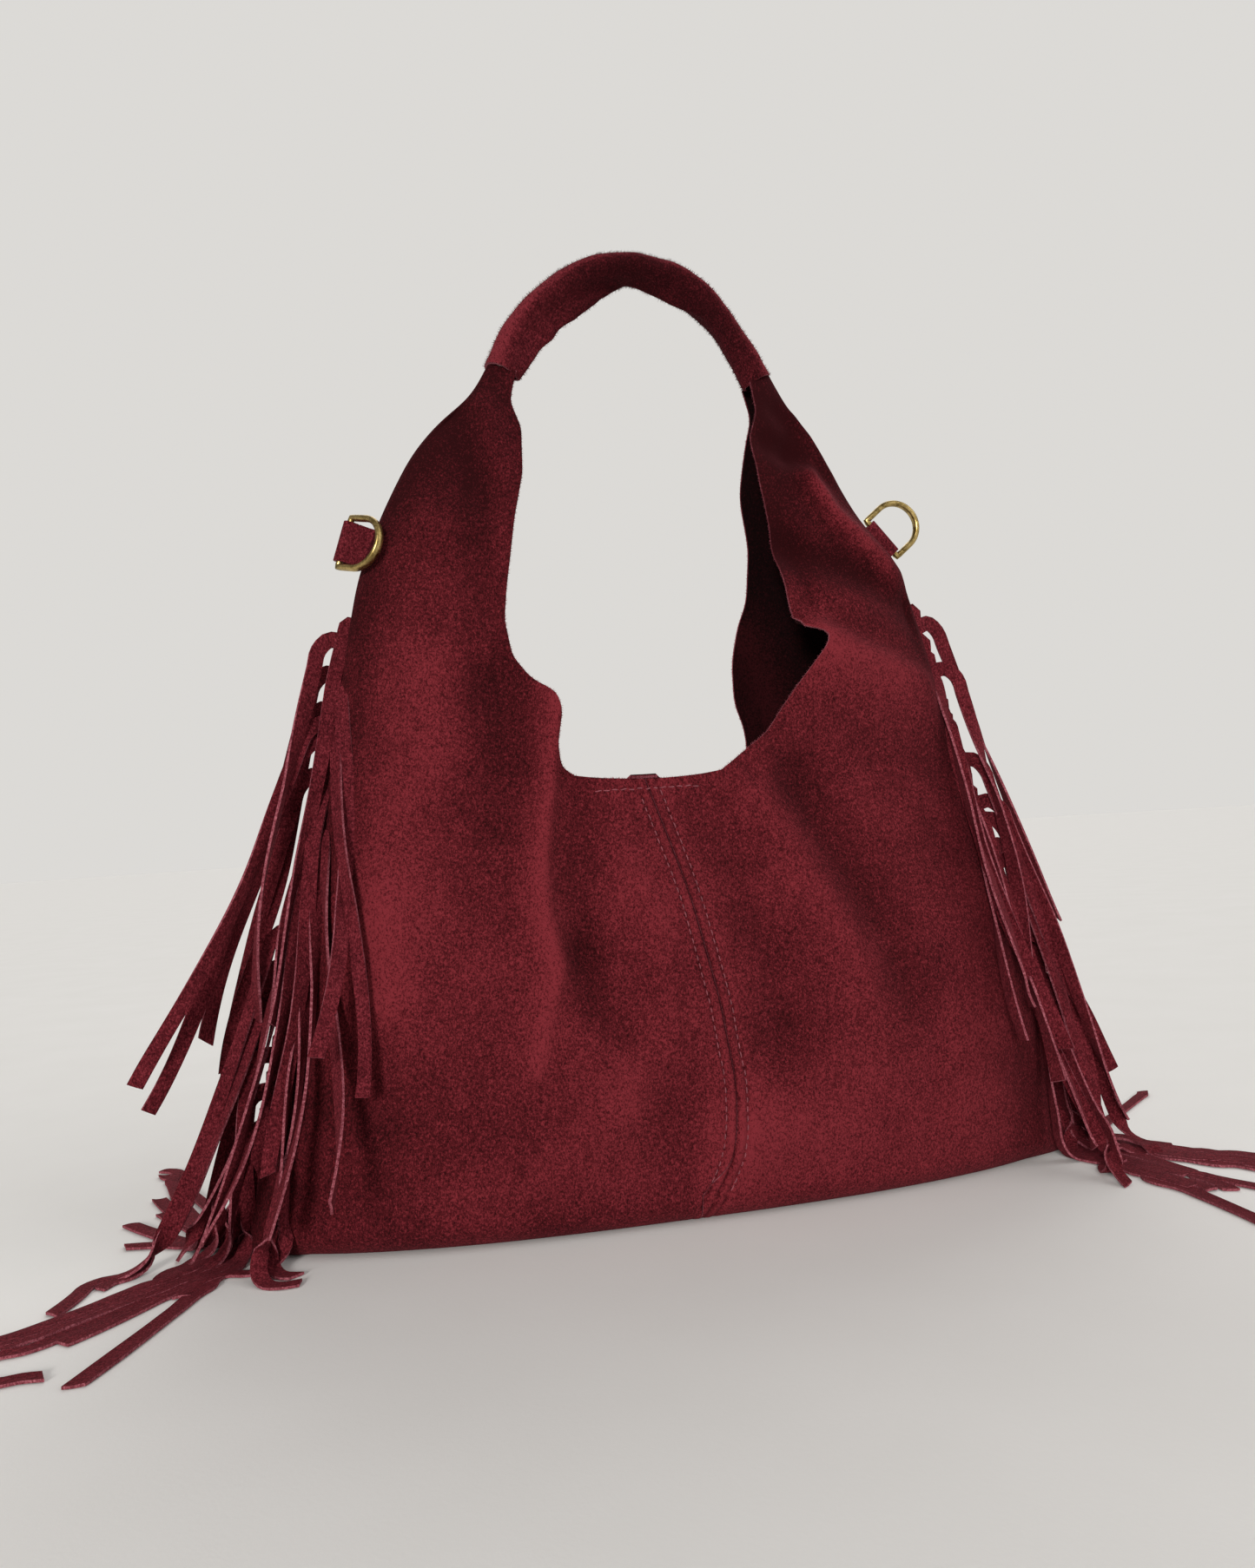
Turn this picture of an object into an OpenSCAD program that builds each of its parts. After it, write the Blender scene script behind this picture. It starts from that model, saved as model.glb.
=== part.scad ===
// Slouchy fringed suede hobo bag: four suede panels, a tubular handle, two fringed side seams,
// two D-rings in suede tabs and a magnetic snap on inner facings.
// X runs across the front, Y from front to back and Z up. The base stands on Z = 0.

/* [Suede] */
// Thickness of the suede panels
suede = 1.6; // [1.2:0.1:1.8]
// Half of the gap between the front and back panels along a side seam, filled by what is sewn in
seam_gap = 1.5; // [1.4:0.1:2]
// Gap between the two panels of one face at the centre seam and at the base seam
butt_gap = 0.6; // [0.4:0.1:1]

/* [Body] */
// Half of the bag's depth near the base
half_depth = 46; // [40:1:52]
// Radius of the soft fold where a face turns under the base
base_round = 14; // [10:1:18]

/* [Seam strip and facing] */
// Width of the strip that backs each centre seam
strip_w = 18; // [14:1:22]
// Thickness of the strips and of the facings
strip_t = 1.2; // [1:0.1:1.4]
// Width of the facing that carries half of the snap
facing_w = 58; // [50:1:62]
// Height of the facing
facing_h = 26; // [24:1:27]

/* [Snap] */
// Diameter of each half of the magnetic snap
snap_d = 18; // [14:1:18]
// Thickness of each half
snap_t = 2.6; // [2:0.2:3]

/* [Handle] */
// Half of the handle's depth, front to back, at its middle
handle_depth = 13; // [11:1:14]
// Half of the handle's thickness at its middle
handle_thick = 7.5; // [7:0.5:9]

/* [D-rings] */
// Clear length inside the ring along its straight bar
ring_inside = 22; // [21:0.5:24]
// Thickness of the ring's wire, seen from its face
ring_wire = 3.2; // [3:0.1:3.4]
// Width of the ring's wire, seen from its edge
ring_edge = 4.6; // [4:0.2:5]
// Outside depth of the ring from bar to bow
ring_depth = 26; // [24:1:28]
// Width of the tab along the seam
tab_w = 20; // [18:0.5:20.5]
// Distance from the seam to the middle of the ring's bar
tab_reach = 12; // [11:0.5:14]

/* [Fringe] */
// Number of strands on each side
strands = 36; // [30:1:38]
// Length of a strand
strand_l = 190; // [170:5:195]
// Width of a strand
strand_w = 7.6; // [6:0.2:7.6]
// Thickness of a strand
strand_t = 1.2; // [1:0.1:1.3]

/* [Hidden] */
$fn = 48;

suede_red = [0.42, 0.09, 0.13];
fringe_red = [0.47, 0.12, 0.17];
inside_red = [0.33, 0.08, 0.11];
brass = [0.62, 0.5, 0.27];
steel = [0.7, 0.7, 0.68];
cotton = [0.86, 0.83, 0.76];

// Ribs run across each half from the side seam to the centre seam or the opening's raw edge.
// Each list holds one end of the ribs, as [x, z], from the base up to the neck under the handle.
left_seam = [
    [-212, 0], [-204, 34], [-196, 70], [-186, 112], [-177, 155], [-166, 205], [-158, 245],
    [-151, 282], [-144, 315], [-131, 346], [-115, 376], [-98, 395], [-84, 404]
];
right_seam = [
    [212, 0], [208, 34], [203, 70], [194, 112], [183, 155], [169, 205], [158, 245],
    [149, 282], [140, 312], [120, 338], [106, 364], [95, 386], [83, 399]
];
front_centre = [[-4, 0], [12, 30], [16, 62], [11, 104], [1, 157], [-14, 209]];
back_centre = [[-4, 0], [2, 30], [4, 62], [2, 104], [-2, 157], [-8, 205]];
front_left_edge = [[-44, 211], [-56, 236], [-72, 276], [-72, 318], [-62, 362], [-61, 387], [-66, 400]];
front_right_edge = [[22, 210], [50, 228], [74, 258], [72, 296], [61, 350], [58, 378], [64, 396]];
back_left_edge = [[-44, 210], [-62, 240], [-74, 282], [-72, 318], [-64, 362], [-62, 385], [-66, 400]];
back_right_edge = [[22, 207], [46, 226], [58, 262], [62, 300], [58, 350], [60, 378], [64, 396]];

// How full the bag is at each height, as a share of half_depth
fullness = [
    [0, 1], [60, 1.05], [120, 0.95], [180, 0.72], [210, 0.58], [260, 0.48], [320, 0.36],
    [370, 0.24], [400, 0.12]
];
// Places across a half at which its surface is worked out, 0 at the side seam and 1 at the centre
stations = [0, 0.04, 0.1, 0.2, 0.34, 0.5, 0.67, 0.84, 1];
plump_rise = 2.6;
plump_round = 0.65;
// The faces stand a little further apart at the lower corners, where the seams cross
corner_extra = 1.6;
corner_height = 32;
// The rows under the base come before the first rib above the fold
base_rows = 5;

// Distances below its root at which a hanging strand is worked out
hang_marks = [0, 3, 8, 16, 30, 60, 105];
strand_arch = 15;
// Distance down in which a strand does most of its arch, and most of its step to the front or back
arch_fall = 7;
step_fall = 3.5;
strand_spread = 0.14;
strand_root = 3.5;
header_edge = 2;
landing = 5;
// An end shorter than this doesn't lie on the ground
shortest_end = 8;
// Longest straight stretch of an end that does
end_step = 40;
// Where an end points, measured from straight out to the side: lowest strands, then highest
front_turn = 65;
back_turn = 72;
free_turn = 20;
fringe_bottom = 8;
fringe_top = 292;
// The strands from this one up hang free of the ground, a little further out than those below
first_free = 24;
free_arch = 18.5;
layer_lift = strand_t + 0.4;

// Middle line of the handle as [x, z], from its left end over the top to its right end
handle_line = [
    [-67, 421], [-58, 440], [-43, 457], [-22, 470], [2, 475], [26, 469], [45, 454], [58, 434], [66, 418]
];
handle_sides = 14;
end_depth = 9;
end_thick = 9;

left_bar = [-149, 333];
right_bar = [132, 332];
left_bar_tilt = 18;
right_bar_tilt = -40;
left_ring_turn = 135;
fit_gap = 0.3;
loop_gap = 0.35;
slot_gap = 0.2;
tab_t = 1.3;

snap_z = 194;
prong = [1, 1.2, 4];
prong_x = 4;
washer_t = 0.5;
facing_back = 3.6;

function mix(a, b, t) = a + (b - a) * t;
// Share of the full depth at u across a half: steep at the side seam and flat at the middle
function plump(u) = pow(1 - pow(1 - u, plump_rise), plump_round);
function corner(z) = max(0, corner_extra * (1 - z / corner_height));
function depth(u, z) = seam_gap + suede + corner(z) + half_depth * plump(u) * lookup(z, fullness);
function fold(u) = max(suede + 0.4, min(base_round, depth(u, 0) / 2));

// A point on the outer side of the front as [x, y, z, turn]: the inner side lies in the direction
// [0, cos(turn), sin(turn)] from it. Rows 0 to 4 run from the base seam to the top of the fold.
function base_point(x, u, row) =
    let (d = depth(u, 0), r = fold(u), half_gap = butt_gap / 2)
    row == 0 ? [x, -half_gap, 0, 90] :
    row == 1 ? [x, mix(-half_gap, r - d, 0.5), 0, 90] :
    row == 2 ? [x, r - d, 0, 90] :
    row == 3 ? [x, r * (1 - sin(45)) - d, r * (1 - cos(45)), 45] :
    [x, -d, r, 0];
function rib_point(x, z, u) = [x, -depth(u, z), z, 0];
function face_point(outer, inner, u, row) =
    row < base_rows ? base_point(mix(outer[0][0], inner[0][0], u), u, row) :
    let (p = mix(outer[row - base_rows + 1], inner[row - base_rows + 1], u)) rib_point(p[0], p[1], u);
function inward(p, by) = [p[0], p[1] + by * cos(p[3]), p[2] + by * sin(p[3])];

// A closed skin from two matching grids of points, seen from the front with x growing along a row
module skin(outside, inside) {
    rows = len(outside);
    cols = len(outside[0]);
    points = concat([for (r = outside) each r], [for (r = inside) each r]);
    far = rows * cols;
    function at(r, c) = r * cols + c;
    function quad(a, b, c, d) = [[a, b, c], [a, c, d]];
    faces = concat(
        [for (r = [0:rows - 2], c = [0:cols - 2])
            each quad(at(r, c), at(r + 1, c), at(r + 1, c + 1), at(r, c + 1))],
        [for (r = [0:rows - 2], c = [0:cols - 2])
            each quad(far + at(r, c), far + at(r, c + 1),
                      far + at(r + 1, c + 1), far + at(r + 1, c))],
        [for (r = [0:rows - 2])
            each quad(at(r, 0), far + at(r, 0), far + at(r + 1, 0), at(r + 1, 0))],
        [for (r = [0:rows - 2])
            each quad(at(r, cols - 1), at(r + 1, cols - 1),
                      far + at(r + 1, cols - 1), far + at(r, cols - 1))],
        [for (c = [0:cols - 2])
            each quad(at(0, c), at(0, c + 1), far + at(0, c + 1), far + at(0, c))],
        [for (c = [0:cols - 2])
            each quad(at(rows - 1, c + 1), at(rows - 1, c),
                      far + at(rows - 1, c), far + at(rows - 1, c + 1))]
    );
    polyhedron(points = points, faces = faces);
}

// A closed solid through rings of points, each ring listed the same way round
module sweep(rings) {
    n = len(rings[0]);
    last = len(rings) - 1;
    sides = [for (r = [0:last - 1], k = [0:n - 1])
        let (a = r * n + k, b = r * n + (k + 1) % n) each [[a, b, b + n], [a, b + n, a + n]]];
    caps = concat(
        [for (k = [1:n - 2]) [0, k + 1, k]],
        [for (k = [1:n - 2]) [last * n, last * n + k, last * n + k + 1]]
    );
    polyhedron(points = [for (r = rings) each r], faces = concat(sides, caps));
}

// One half of the front, from the side seam to the centre seam and the opening's edge.
// The turned-up allowance of the base seam stands inside it.
module half_face(outer, centre, edge) {
    inner = concat(centre, edge);
    side = sign(outer[0][0]);
    across = side < 0 ? stations : [for (k = [len(stations) - 1:-1:0]) stations[k]];
    butt = [for (p = inner) [p[0] + side * butt_gap / 2, p[1]]];
    rows = base_rows + len(outer) - 1;
    grid = [for (row = [0:rows - 1]) [for (u = across) face_point(outer, butt, u, row)]];
    allowance = [185, suede, 7];
    skin([for (r = grid) [for (p = r) inward(p, 0)]], [for (r = grid) [for (p = r) inward(p, suede)]]);
    translate([side > 0 ? 10 : -10 - allowance[0], -butt_gap / 2 - suede, suede / 2]) cube(allowance);
}

module front_left_panel() {
    color(suede_red) half_face(left_seam, front_centre, front_left_edge);
}

module front_right_panel() {
    color(suede_red) half_face(right_seam, front_centre, front_right_edge);
}

module back_left_panel() {
    color(suede_red) mirror([0, 1, 0]) half_face(left_seam, back_centre, back_left_edge);
}

module back_right_panel() {
    color(suede_red) mirror([0, 1, 0]) half_face(right_seam, back_centre, back_right_edge);
}

// A strip behind a centre seam, from the fold at the base to just above the opening's edge
module seam_strip(centre) {
    gap = 0.25;
    first = 2;
    path = concat(
        [for (row = [first:base_rows - 1]) base_point(centre[0][0], 1, row)],
        [for (k = [1:len(centre) - 1]) rib_point(centre[k][0], centre[k][1], 1)]
    );
    end = path[len(path) - 1];
    whole = concat(path, [[end[0], end[1], end[2] + 2.5, 0]]);
    grid = [for (p = whole) [for (side = [-0.5, 0.5]) [p[0] + side * strip_w, p[1], p[2], p[3]]]];
    near = suede + gap;
    skin(
        [for (r = grid) [for (p = r) inward(p, near)]],
        [for (r = grid) [for (p = r) inward(p, near + strip_t)]]
    );
}

module front_seam_strip() {
    color(inside_red) seam_strip(front_centre);
}

module back_seam_strip() {
    color(inside_red) mirror([0, 1, 0]) seam_strip(back_centre);
}

// Stands a flat piece drawn in XZ against the inside of the face behind it, at the middle of a facing
module on_facing(centre) {
    x = mix(centre[4][0], centre[5][0], 0.72);
    rise = 12;
    lean = atan((depth(1, snap_z - rise) - depth(1, snap_z + rise)) / (2 * rise));
    translate([x, suede + facing_back - depth(1, snap_z), snap_z]) rotate([-lean, 0, 0]) children();
}

module prong_slots() {
    for (side = [-1, 1])
        translate([side * prong_x, 0, 0])
            cube([prong[0] + 2 * slot_gap, 20, prong[2] + 2 * slot_gap], center = true);
}

module facing() {
    corner = 4;
    difference() {
        rotate([-90, 0, 0]) linear_extrude(strip_t) {
            square([facing_w - 2 * corner, facing_h], center = true);
            square([facing_w, facing_h - 2 * corner], center = true);
            for (x = [-1, 1], y = [-1, 1])
                translate([x * (facing_w / 2 - corner), y * (facing_h / 2 - corner)]) circle(corner);
        }
        prong_slots();
    }
}

module washer() {
    difference() {
        translate([0, -washer_t - 0.1, 0]) rotate([-90, 0, 0]) cylinder(h = washer_t, d = snap_d - 4);
        prong_slots();
    }
}

// Two flat prongs pass through the facing and the washer, and turn outwards behind them
module prongs() {
    back = washer_t + 0.3;
    turn = 3;
    for (side = [-1, 1]) {
        shift = side > 0 ? -prong[0] / 2 : prong[0] / 2 - turn;
        translate([side * prong_x - prong[0] / 2, -back, -prong[2] / 2])
            cube([prong[0], back + strip_t + 0.6, prong[2]]);
        translate([side * prong_x + shift, -back - 0.6, -prong[2] / 2])
            cube([turn, 0.6, prong[2]]);
    }
}

module front_facing() {
    color(inside_red) on_facing(front_centre) facing();
}

module back_facing() {
    color(inside_red) mirror([0, 1, 0]) on_facing(back_centre) facing();
}

module snap_socket() {
    color(steel) on_facing(front_centre) union() {
        translate([0, strip_t + 0.1, 0]) rotate([-90, 0, 0]) difference() {
            cylinder(h = snap_t, d = snap_d);
            translate([0, 0, snap_t - 1.6]) cylinder(h = 2, d = 8.6);
        }
        prongs();
    }
}

module snap_stud() {
    color(steel) mirror([0, 1, 0]) on_facing(back_centre) union() {
        translate([0, strip_t + 0.1, 0]) rotate([-90, 0, 0]) {
            cylinder(h = snap_t - 0.8, d = snap_d);
            cylinder(h = snap_t + 0.6, d = 8);
        }
        prongs();
    }
}

module socket_washer() {
    color(steel) on_facing(front_centre) washer();
}

module stud_washer() {
    color(steel) mirror([0, 1, 0]) on_facing(back_centre) washer();
}

// Places a ring or tab drawn with its bar along Z and its outward side along -X
module at_bar(bar, tilt, side) {
    translate([bar[0], 0, bar[1]]) rotate([0, tilt, 0]) mirror([side > 0 ? 1 : 0, 0, 0]) children();
}

// A folded strip of suede that goes round the ring's bar and back into the side seam
module ring_tab() {
    inner_r = ring_wire / 2 + loop_gap;
    outer_r = inner_r + tab_t;
    tuck = 0.15;
    joined = tab_reach - 5;
    sewn_in = tab_reach + 7;
    half = tab_t + 0.05;
    leg = [[0, outer_r - tuck], [joined, half], [sewn_in, half]];
    translate([0, 0, -tab_w / 2]) difference() {
        union() {
            cylinder(h = tab_w, r = outer_r);
            linear_extrude(tab_w) polygon(concat(leg, [for (k = [2:-1:0]) [leg[k][0], -leg[k][1]]]));
        }
        translate([0, 0, -1]) cylinder(h = tab_w + 2, r = inner_r);
        translate([0, 0, -1]) linear_extrude(tab_w + 2)
            polygon([[0, inner_r - tuck], [joined, 0], [0, tuck - inner_r]]);
    }
}

module wire_section() {
    flat = (ring_edge - ring_wire) / 2;
    square([ring_wire, 2 * flat], center = true);
    for (y = [-flat, flat]) translate([0, y]) circle(ring_wire / 2);
}

// The ring's straight bar is round; its legs and bow are a flattened wire
module d_ring() {
    r = (ring_inside + ring_wire) / 2;
    leg = ring_depth - ring_wire / 2 - ring_inside / 2 - ring_wire;
    flat = (ring_edge - ring_wire) / 2;
    cylinder(h = 2 * r, d = ring_wire, center = true);
    for (z = [-r, r]) translate([0, 0, z]) {
        translate([-leg, 0, 0]) rotate([0, 90, 0]) linear_extrude(leg) wire_section();
        rotate([90, 0, 0]) cylinder(h = 2 * flat, d = ring_wire, center = true);
        for (y = [-flat, flat]) translate([0, y, 0]) sphere(d = ring_wire);
    }
    translate([-leg, 0, 0]) rotate([90, 0, 0]) rotate([0, 0, 90])
        rotate_extrude(angle = 180) translate([r, 0]) wire_section();
}

module left_ring_tab() {
    color(suede_red) at_bar(left_bar, left_bar_tilt, -1) ring_tab();
}

module right_ring_tab() {
    color(suede_red) at_bar(right_bar, right_bar_tilt, 1) ring_tab();
}

module left_ring() {
    color(brass) at_bar(left_bar, left_bar_tilt, -1) rotate([0, 0, left_ring_turn]) d_ring();
}

module right_ring() {
    color(brass) at_bar(right_bar, right_bar_tilt, 1) d_ring();
}

// A ring of the handle's cross-section at one point of its line, smaller by `less`
function handle_ring(k, less) =
    let (
        last = len(handle_line) - 1,
        p = handle_line[k],
        t = handle_line[min(k + 1, last)] - handle_line[max(k - 1, 0)],
        out = [-t[1], t[0]] / norm(t),
        share = pow(abs(2 * k / last - 1), 2),
        thick = mix(handle_thick, end_thick, share) - less,
        deep = mix(handle_depth, end_depth, share) - less
    )
    [for (s = [0:handle_sides - 1])
        let (
            a = -360 * s / handle_sides,
            n = out * thick * cos(a)
        )
        [p[0] + n[0], deep * sin(a), p[1] + n[1]]];

// A tube of suede: the outer rings, then the same rings one thickness smaller
module handle_sleeve() {
    n = handle_sides;
    count = len(handle_line);
    rings = concat(
        [for (k = [0:count - 1]) handle_ring(k, 0)],
        [for (k = [count - 1:-1:0]) handle_ring(k, suede)]
    );
    total = len(rings);
    faces = [for (r = [0:total - 1], k = [0:n - 1])
        let (
            a = r * n + k,
            b = r * n + (k + 1) % n,
            c = ((r + 1) % total) * n + (k + 1) % n,
            d = ((r + 1) % total) * n + k
        )
        each [[a, b, c], [a, c, d]]];
    color(suede_red) polyhedron(points = [for (r = rings) each r], faces = faces);
}

// The cotton rope that fills the sleeve
module handle_core() {
    color(cotton) sweep([for (k = [0:len(handle_line) - 1]) handle_ring(k, suede + fit_gap)]);
}

// The part of a fringe strip that is sewn into the side seam
module fringe_header(seam) {
    side = sign(seam[0][0]);
    sewn = 9;
    rows = concat([[seam_x(seam, fringe_bottom - 4), fringe_bottom - 4]], [for (k = [1:6]) seam[k]],
        [[seam_x(seam, fringe_top + 4), fringe_top + 4]]);
    grid = [for (p = rows) [
        [min(p[0] - side * sewn, p[0] + side * header_edge), -strand_t / 2, p[1]],
        [max(p[0] - side * sewn, p[0] + side * header_edge), -strand_t / 2, p[1]]
    ]];
    skin(grid, [for (r = grid) [for (p = r) [p[0], strand_t / 2, p[2]]]]);
}

module left_fringe_header() {
    color(fringe_red) fringe_header(left_seam);
}

module right_fringe_header() {
    color(fringe_red) fringe_header(right_seam);
}

// Where a side seam is at a height
function seam_x(seam, z) = lookup(z, [for (p = seam) [p[1], p[0]]]);

// The path of one strand: it arches out of the seam, hangs along the side, and what is left of its
// length lies on the ground, turned to the front or the back. Higher strands lie on lower ones.
function strand_path(seam, index) =
    let (
        side = sign(seam[0][0]),
        face = index % 2 == 0 ? -1 : 1,
        z0 = mix(fringe_bottom, fringe_top, index / (strands - 1)),
        x0 = seam_x(seam, z0) + side * strand_root,
        arch = index < first_free ? strand_arch : free_arch,
        slope = abs(seam[7][0] - seam[0][0]) / (seam[7][1] - seam[0][1]) + strand_spread,
        level = 1 + floor(index / 2) * layer_lift,
        y = face * (strand_w / 2 + 0.8),
        longest = (strand_l - arch / 2) / norm([1, slope]),
        down = max(3, min(z0 - level, longest)),
        marks = concat([for (m = hang_marks) if (m < down - 3) m], [down]),
        hang = [for (m = marks) [
            x0 + side * (arch * (1 - exp(-m / arch_fall)) + slope * m),
            y * (1 - exp(-m / step_fall)),
            z0 - m
        ]],
        foot = hang[len(hang) - 1],
        left = strand_l - arch / 2 - down * norm([1, slope]) - landing,
        steepest = face < 0 ? front_turn : back_turn,
        turn = face * mix(steepest, free_turn, min(1, z0 / strand_l)),
        legs = max(2, ceil(left / end_step))
    )
    left < shortest_end ? hang : concat(hang, [for (k = [0:legs])
        let (run = left * k / legs)
        [foot[0] + side * (landing + run * cos(turn)), foot[1] + run * sin(turn), level]]);

// The ribbon's cross-sections along its path, with its width level all the way
function strand_rings(path, side) =
    [for (k = [0:len(path) - 1])
        let (
            along = path[min(k + 1, len(path) - 1)] - path[max(k - 1, 0)],
            width = side * [-along[1], along[0], 0] / norm([along[0], along[1]]) * strand_w / 2,
            thick = cross(along, width) / norm(along) / norm(width) * strand_t / 2
        )
        [
            path[k] + width + thick,
            path[k] + width - thick,
            path[k] - width - thick,
            path[k] - width + thick
        ]];

module fringe_strands(seam, from, to) {
    side = sign(seam[0][0]);
    for (index = [from:to]) sweep(strand_rings(strand_path(seam, index), side));
}

module left_upper_strands() {
    color(fringe_red) fringe_strands(left_seam, first_free, strands - 1);
}

module right_upper_strands() {
    color(fringe_red) fringe_strands(right_seam, first_free, strands - 1);
}

module left_lower_strands() {
    color(fringe_red) fringe_strands(left_seam, 0, first_free - 1);
}

module right_lower_strands() {
    color(fringe_red) fringe_strands(right_seam, 0, first_free - 1);
}

front_left_panel();
front_right_panel();
back_left_panel();
back_right_panel();
front_seam_strip();
back_seam_strip();
front_facing();
back_facing();
snap_socket();
snap_stud();
socket_washer();
stud_washer();
left_ring_tab();
right_ring_tab();
left_ring();
right_ring();
handle_sleeve();
handle_core();
left_fringe_header();
right_fringe_header();
left_upper_strands();
right_upper_strands();
left_lower_strands();
right_lower_strands();
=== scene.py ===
import math

import bpy
import numpy as np
from mathutils import Matrix, Vector


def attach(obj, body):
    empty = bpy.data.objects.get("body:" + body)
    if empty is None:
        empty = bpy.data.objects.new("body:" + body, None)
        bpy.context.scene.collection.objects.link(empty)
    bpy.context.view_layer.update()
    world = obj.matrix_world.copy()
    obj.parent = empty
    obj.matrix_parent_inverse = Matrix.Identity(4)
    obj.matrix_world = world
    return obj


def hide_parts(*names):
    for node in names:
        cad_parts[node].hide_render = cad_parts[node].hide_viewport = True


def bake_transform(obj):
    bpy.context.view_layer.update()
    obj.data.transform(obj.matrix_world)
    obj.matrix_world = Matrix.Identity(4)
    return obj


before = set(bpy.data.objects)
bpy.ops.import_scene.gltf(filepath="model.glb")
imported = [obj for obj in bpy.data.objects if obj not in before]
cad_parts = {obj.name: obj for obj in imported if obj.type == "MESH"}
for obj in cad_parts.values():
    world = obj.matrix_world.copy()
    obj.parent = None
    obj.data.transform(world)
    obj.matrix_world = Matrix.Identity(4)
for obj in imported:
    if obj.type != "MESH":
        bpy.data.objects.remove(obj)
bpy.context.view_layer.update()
MM = 0.001

# ---- camera

CAMERA_TARGET = np.array([-16.0, 0.0, 208.0])
CAMERA_AWAY = 616.0
CAMERA_TURN = (-12.6, -2.0, -3.6)


def make_camera():
    """The photo's camera: a little to the left, looking slightly up, and rolled."""
    azimuth, elevation, roll = (math.radians(a) for a in CAMERA_TURN)
    level = math.cos(elevation)
    back = np.array([math.sin(azimuth) * level, -math.cos(azimuth) * level, math.sin(elevation)])
    right = np.cross(-back, [0, 0, 1])
    right /= np.linalg.norm(right)
    up = np.cross(right, -back)
    across = right * math.cos(roll) + up * math.sin(roll)
    above = up * math.cos(roll) - right * math.sin(roll)
    place = (CAMERA_TARGET + back * CAMERA_AWAY) * MM
    data = bpy.data.cameras.new("camera")
    data.sensor_width = 36
    data.lens = 27.9
    data.clip_start = 0.01
    camera = bpy.data.objects.new("camera", data)
    bpy.context.collection.objects.link(camera)
    rows = [[across[i], above[i], back[i], place[i]] for i in range(3)]
    camera.matrix_world = Matrix(rows + [[0, 0, 0, 1]])
    bpy.context.scene.camera = camera


make_camera()

# ---- materials


class Nodes:
    """Short names for building a node material."""

    def __init__(self, name):
        self.material = bpy.data.materials.new(name)
        self.material.use_nodes = True
        self.tree = self.material.node_tree
        self.shader = self.tree.nodes["Principled BSDF"]
        self.coords = self.tree.nodes.new("ShaderNodeTexCoord").outputs["Object"]

    def link(self, a, b):
        self.tree.links.new(a, b)

    def feed(self, socket, value):
        """Links a socket, or sets it where the value is a number or a colour."""
        if isinstance(value, (int, float)):
            socket.default_value = value
        elif isinstance(value, tuple):
            socket.default_value = (*value, 1)
        else:
            self.link(value, socket)

    def stretched(self, scale):
        node = self.tree.nodes.new("ShaderNodeMapping")
        node.inputs["Scale"].default_value = scale
        self.link(self.coords, node.inputs["Vector"])
        return node.outputs["Vector"]

    def noise(self, scale, detail=3.0, rough=0.55, distortion=0.0, vector=None):
        node = self.tree.nodes.new("ShaderNodeTexNoise")
        node.inputs["Scale"].default_value = scale
        node.inputs["Detail"].default_value = detail
        node.inputs["Roughness"].default_value = rough
        node.inputs["Distortion"].default_value = distortion
        self.link(vector or self.coords, node.inputs["Vector"])
        return node.outputs["Fac"]

    def math(self, operation, a, b):
        node = self.tree.nodes.new("ShaderNodeMath")
        node.operation = operation
        self.feed(node.inputs[0], a)
        self.feed(node.inputs[1], b)
        return node.outputs["Value"]

    def ramp(self, value, stops):
        node = self.tree.nodes.new("ShaderNodeValToRGB")
        while len(node.color_ramp.elements) < len(stops):
            node.color_ramp.elements.new(0.5)
        for element, (at, colour) in zip(node.color_ramp.elements, stops):
            element.position = at
            element.color = (*colour, 1)
        self.link(value, node.inputs["Fac"])
        return node.outputs["Color"]

    def mix(self, share, a, b):
        node = self.tree.nodes.new("ShaderNodeMix")
        node.data_type = "RGBA"
        for k, value in ((0, share), (6, a), (7, b)):
            self.feed(node.inputs[k], value)
        return node.outputs[2]

    def bump(self, height, strength, distance, after=None):
        node = self.tree.nodes.new("ShaderNodeBump")
        node.inputs["Strength"].default_value = strength
        node.inputs["Distance"].default_value = distance
        self.link(height, node.inputs["Height"])
        if after:
            self.link(after, node.inputs["Normal"])
        return node.outputs["Normal"]

    def finish(self, **constants):
        for name, value in constants.items():
            self.shader.inputs[name.replace("_", " ")].default_value = value
        return self.material


def suede(name, dark, middle, light, sheen=0.13, patch=22.0):
    """Napped suede: brushed patches and streaks over a grain of short fibres, lighter where its points'
    attribute is high and darker where it is low: painted light and shade, and some lighter bands along the
    centre seams.
    """
    n = Nodes(name)
    grain = n.noise(850, 3.0, 0.75, 0.6)
    hairs = n.noise(1.0, 2.0, 0.6, 0.0, n.stretched((1700, 1700, 800)))
    parts = [
        (n.noise(patch, 3.0, 0.6, 0.4), 0.28),
        (n.noise(1.0, 4.0, 0.6, 0.3, n.stretched((190, 190, 80))), 0.20),
        (grain, 1.30),
        (hairs, 0.85),
    ]
    painted_light_and_nap_tone = n.tree.nodes.new("ShaderNodeAttribute")
    painted_light_and_nap_tone.attribute_name = "painted_light_and_nap_tone"
    tone = n.math("ADD", painted_light_and_nap_tone.outputs["Fac"], 0.5 - 0.5 * sum(weight for _, weight in parts))
    for value, weight in parts:
        tone = n.math("ADD", tone, n.math("MULTIPLY", value, weight))
    n.link(n.ramp(tone, [(0.22, dark), (0.5, middle), (0.78, light)]), n.shader.inputs["Base Color"])
    soft = n.bump(n.noise(230, 3.0, 0.6), 0.3, 0.0006)
    n.link(n.bump(n.math("ADD", grain, hairs), 0.6, 0.0006, soft), n.shader.inputs["Normal"])
    return n.finish(
        Roughness=0.95, Specular_IOR_Level=0.08, Sheen_Weight=sheen, Sheen_Roughness=0.5,
        Sheen_Tint=(0.50, 0.09, 0.12, 1),
    )


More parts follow.
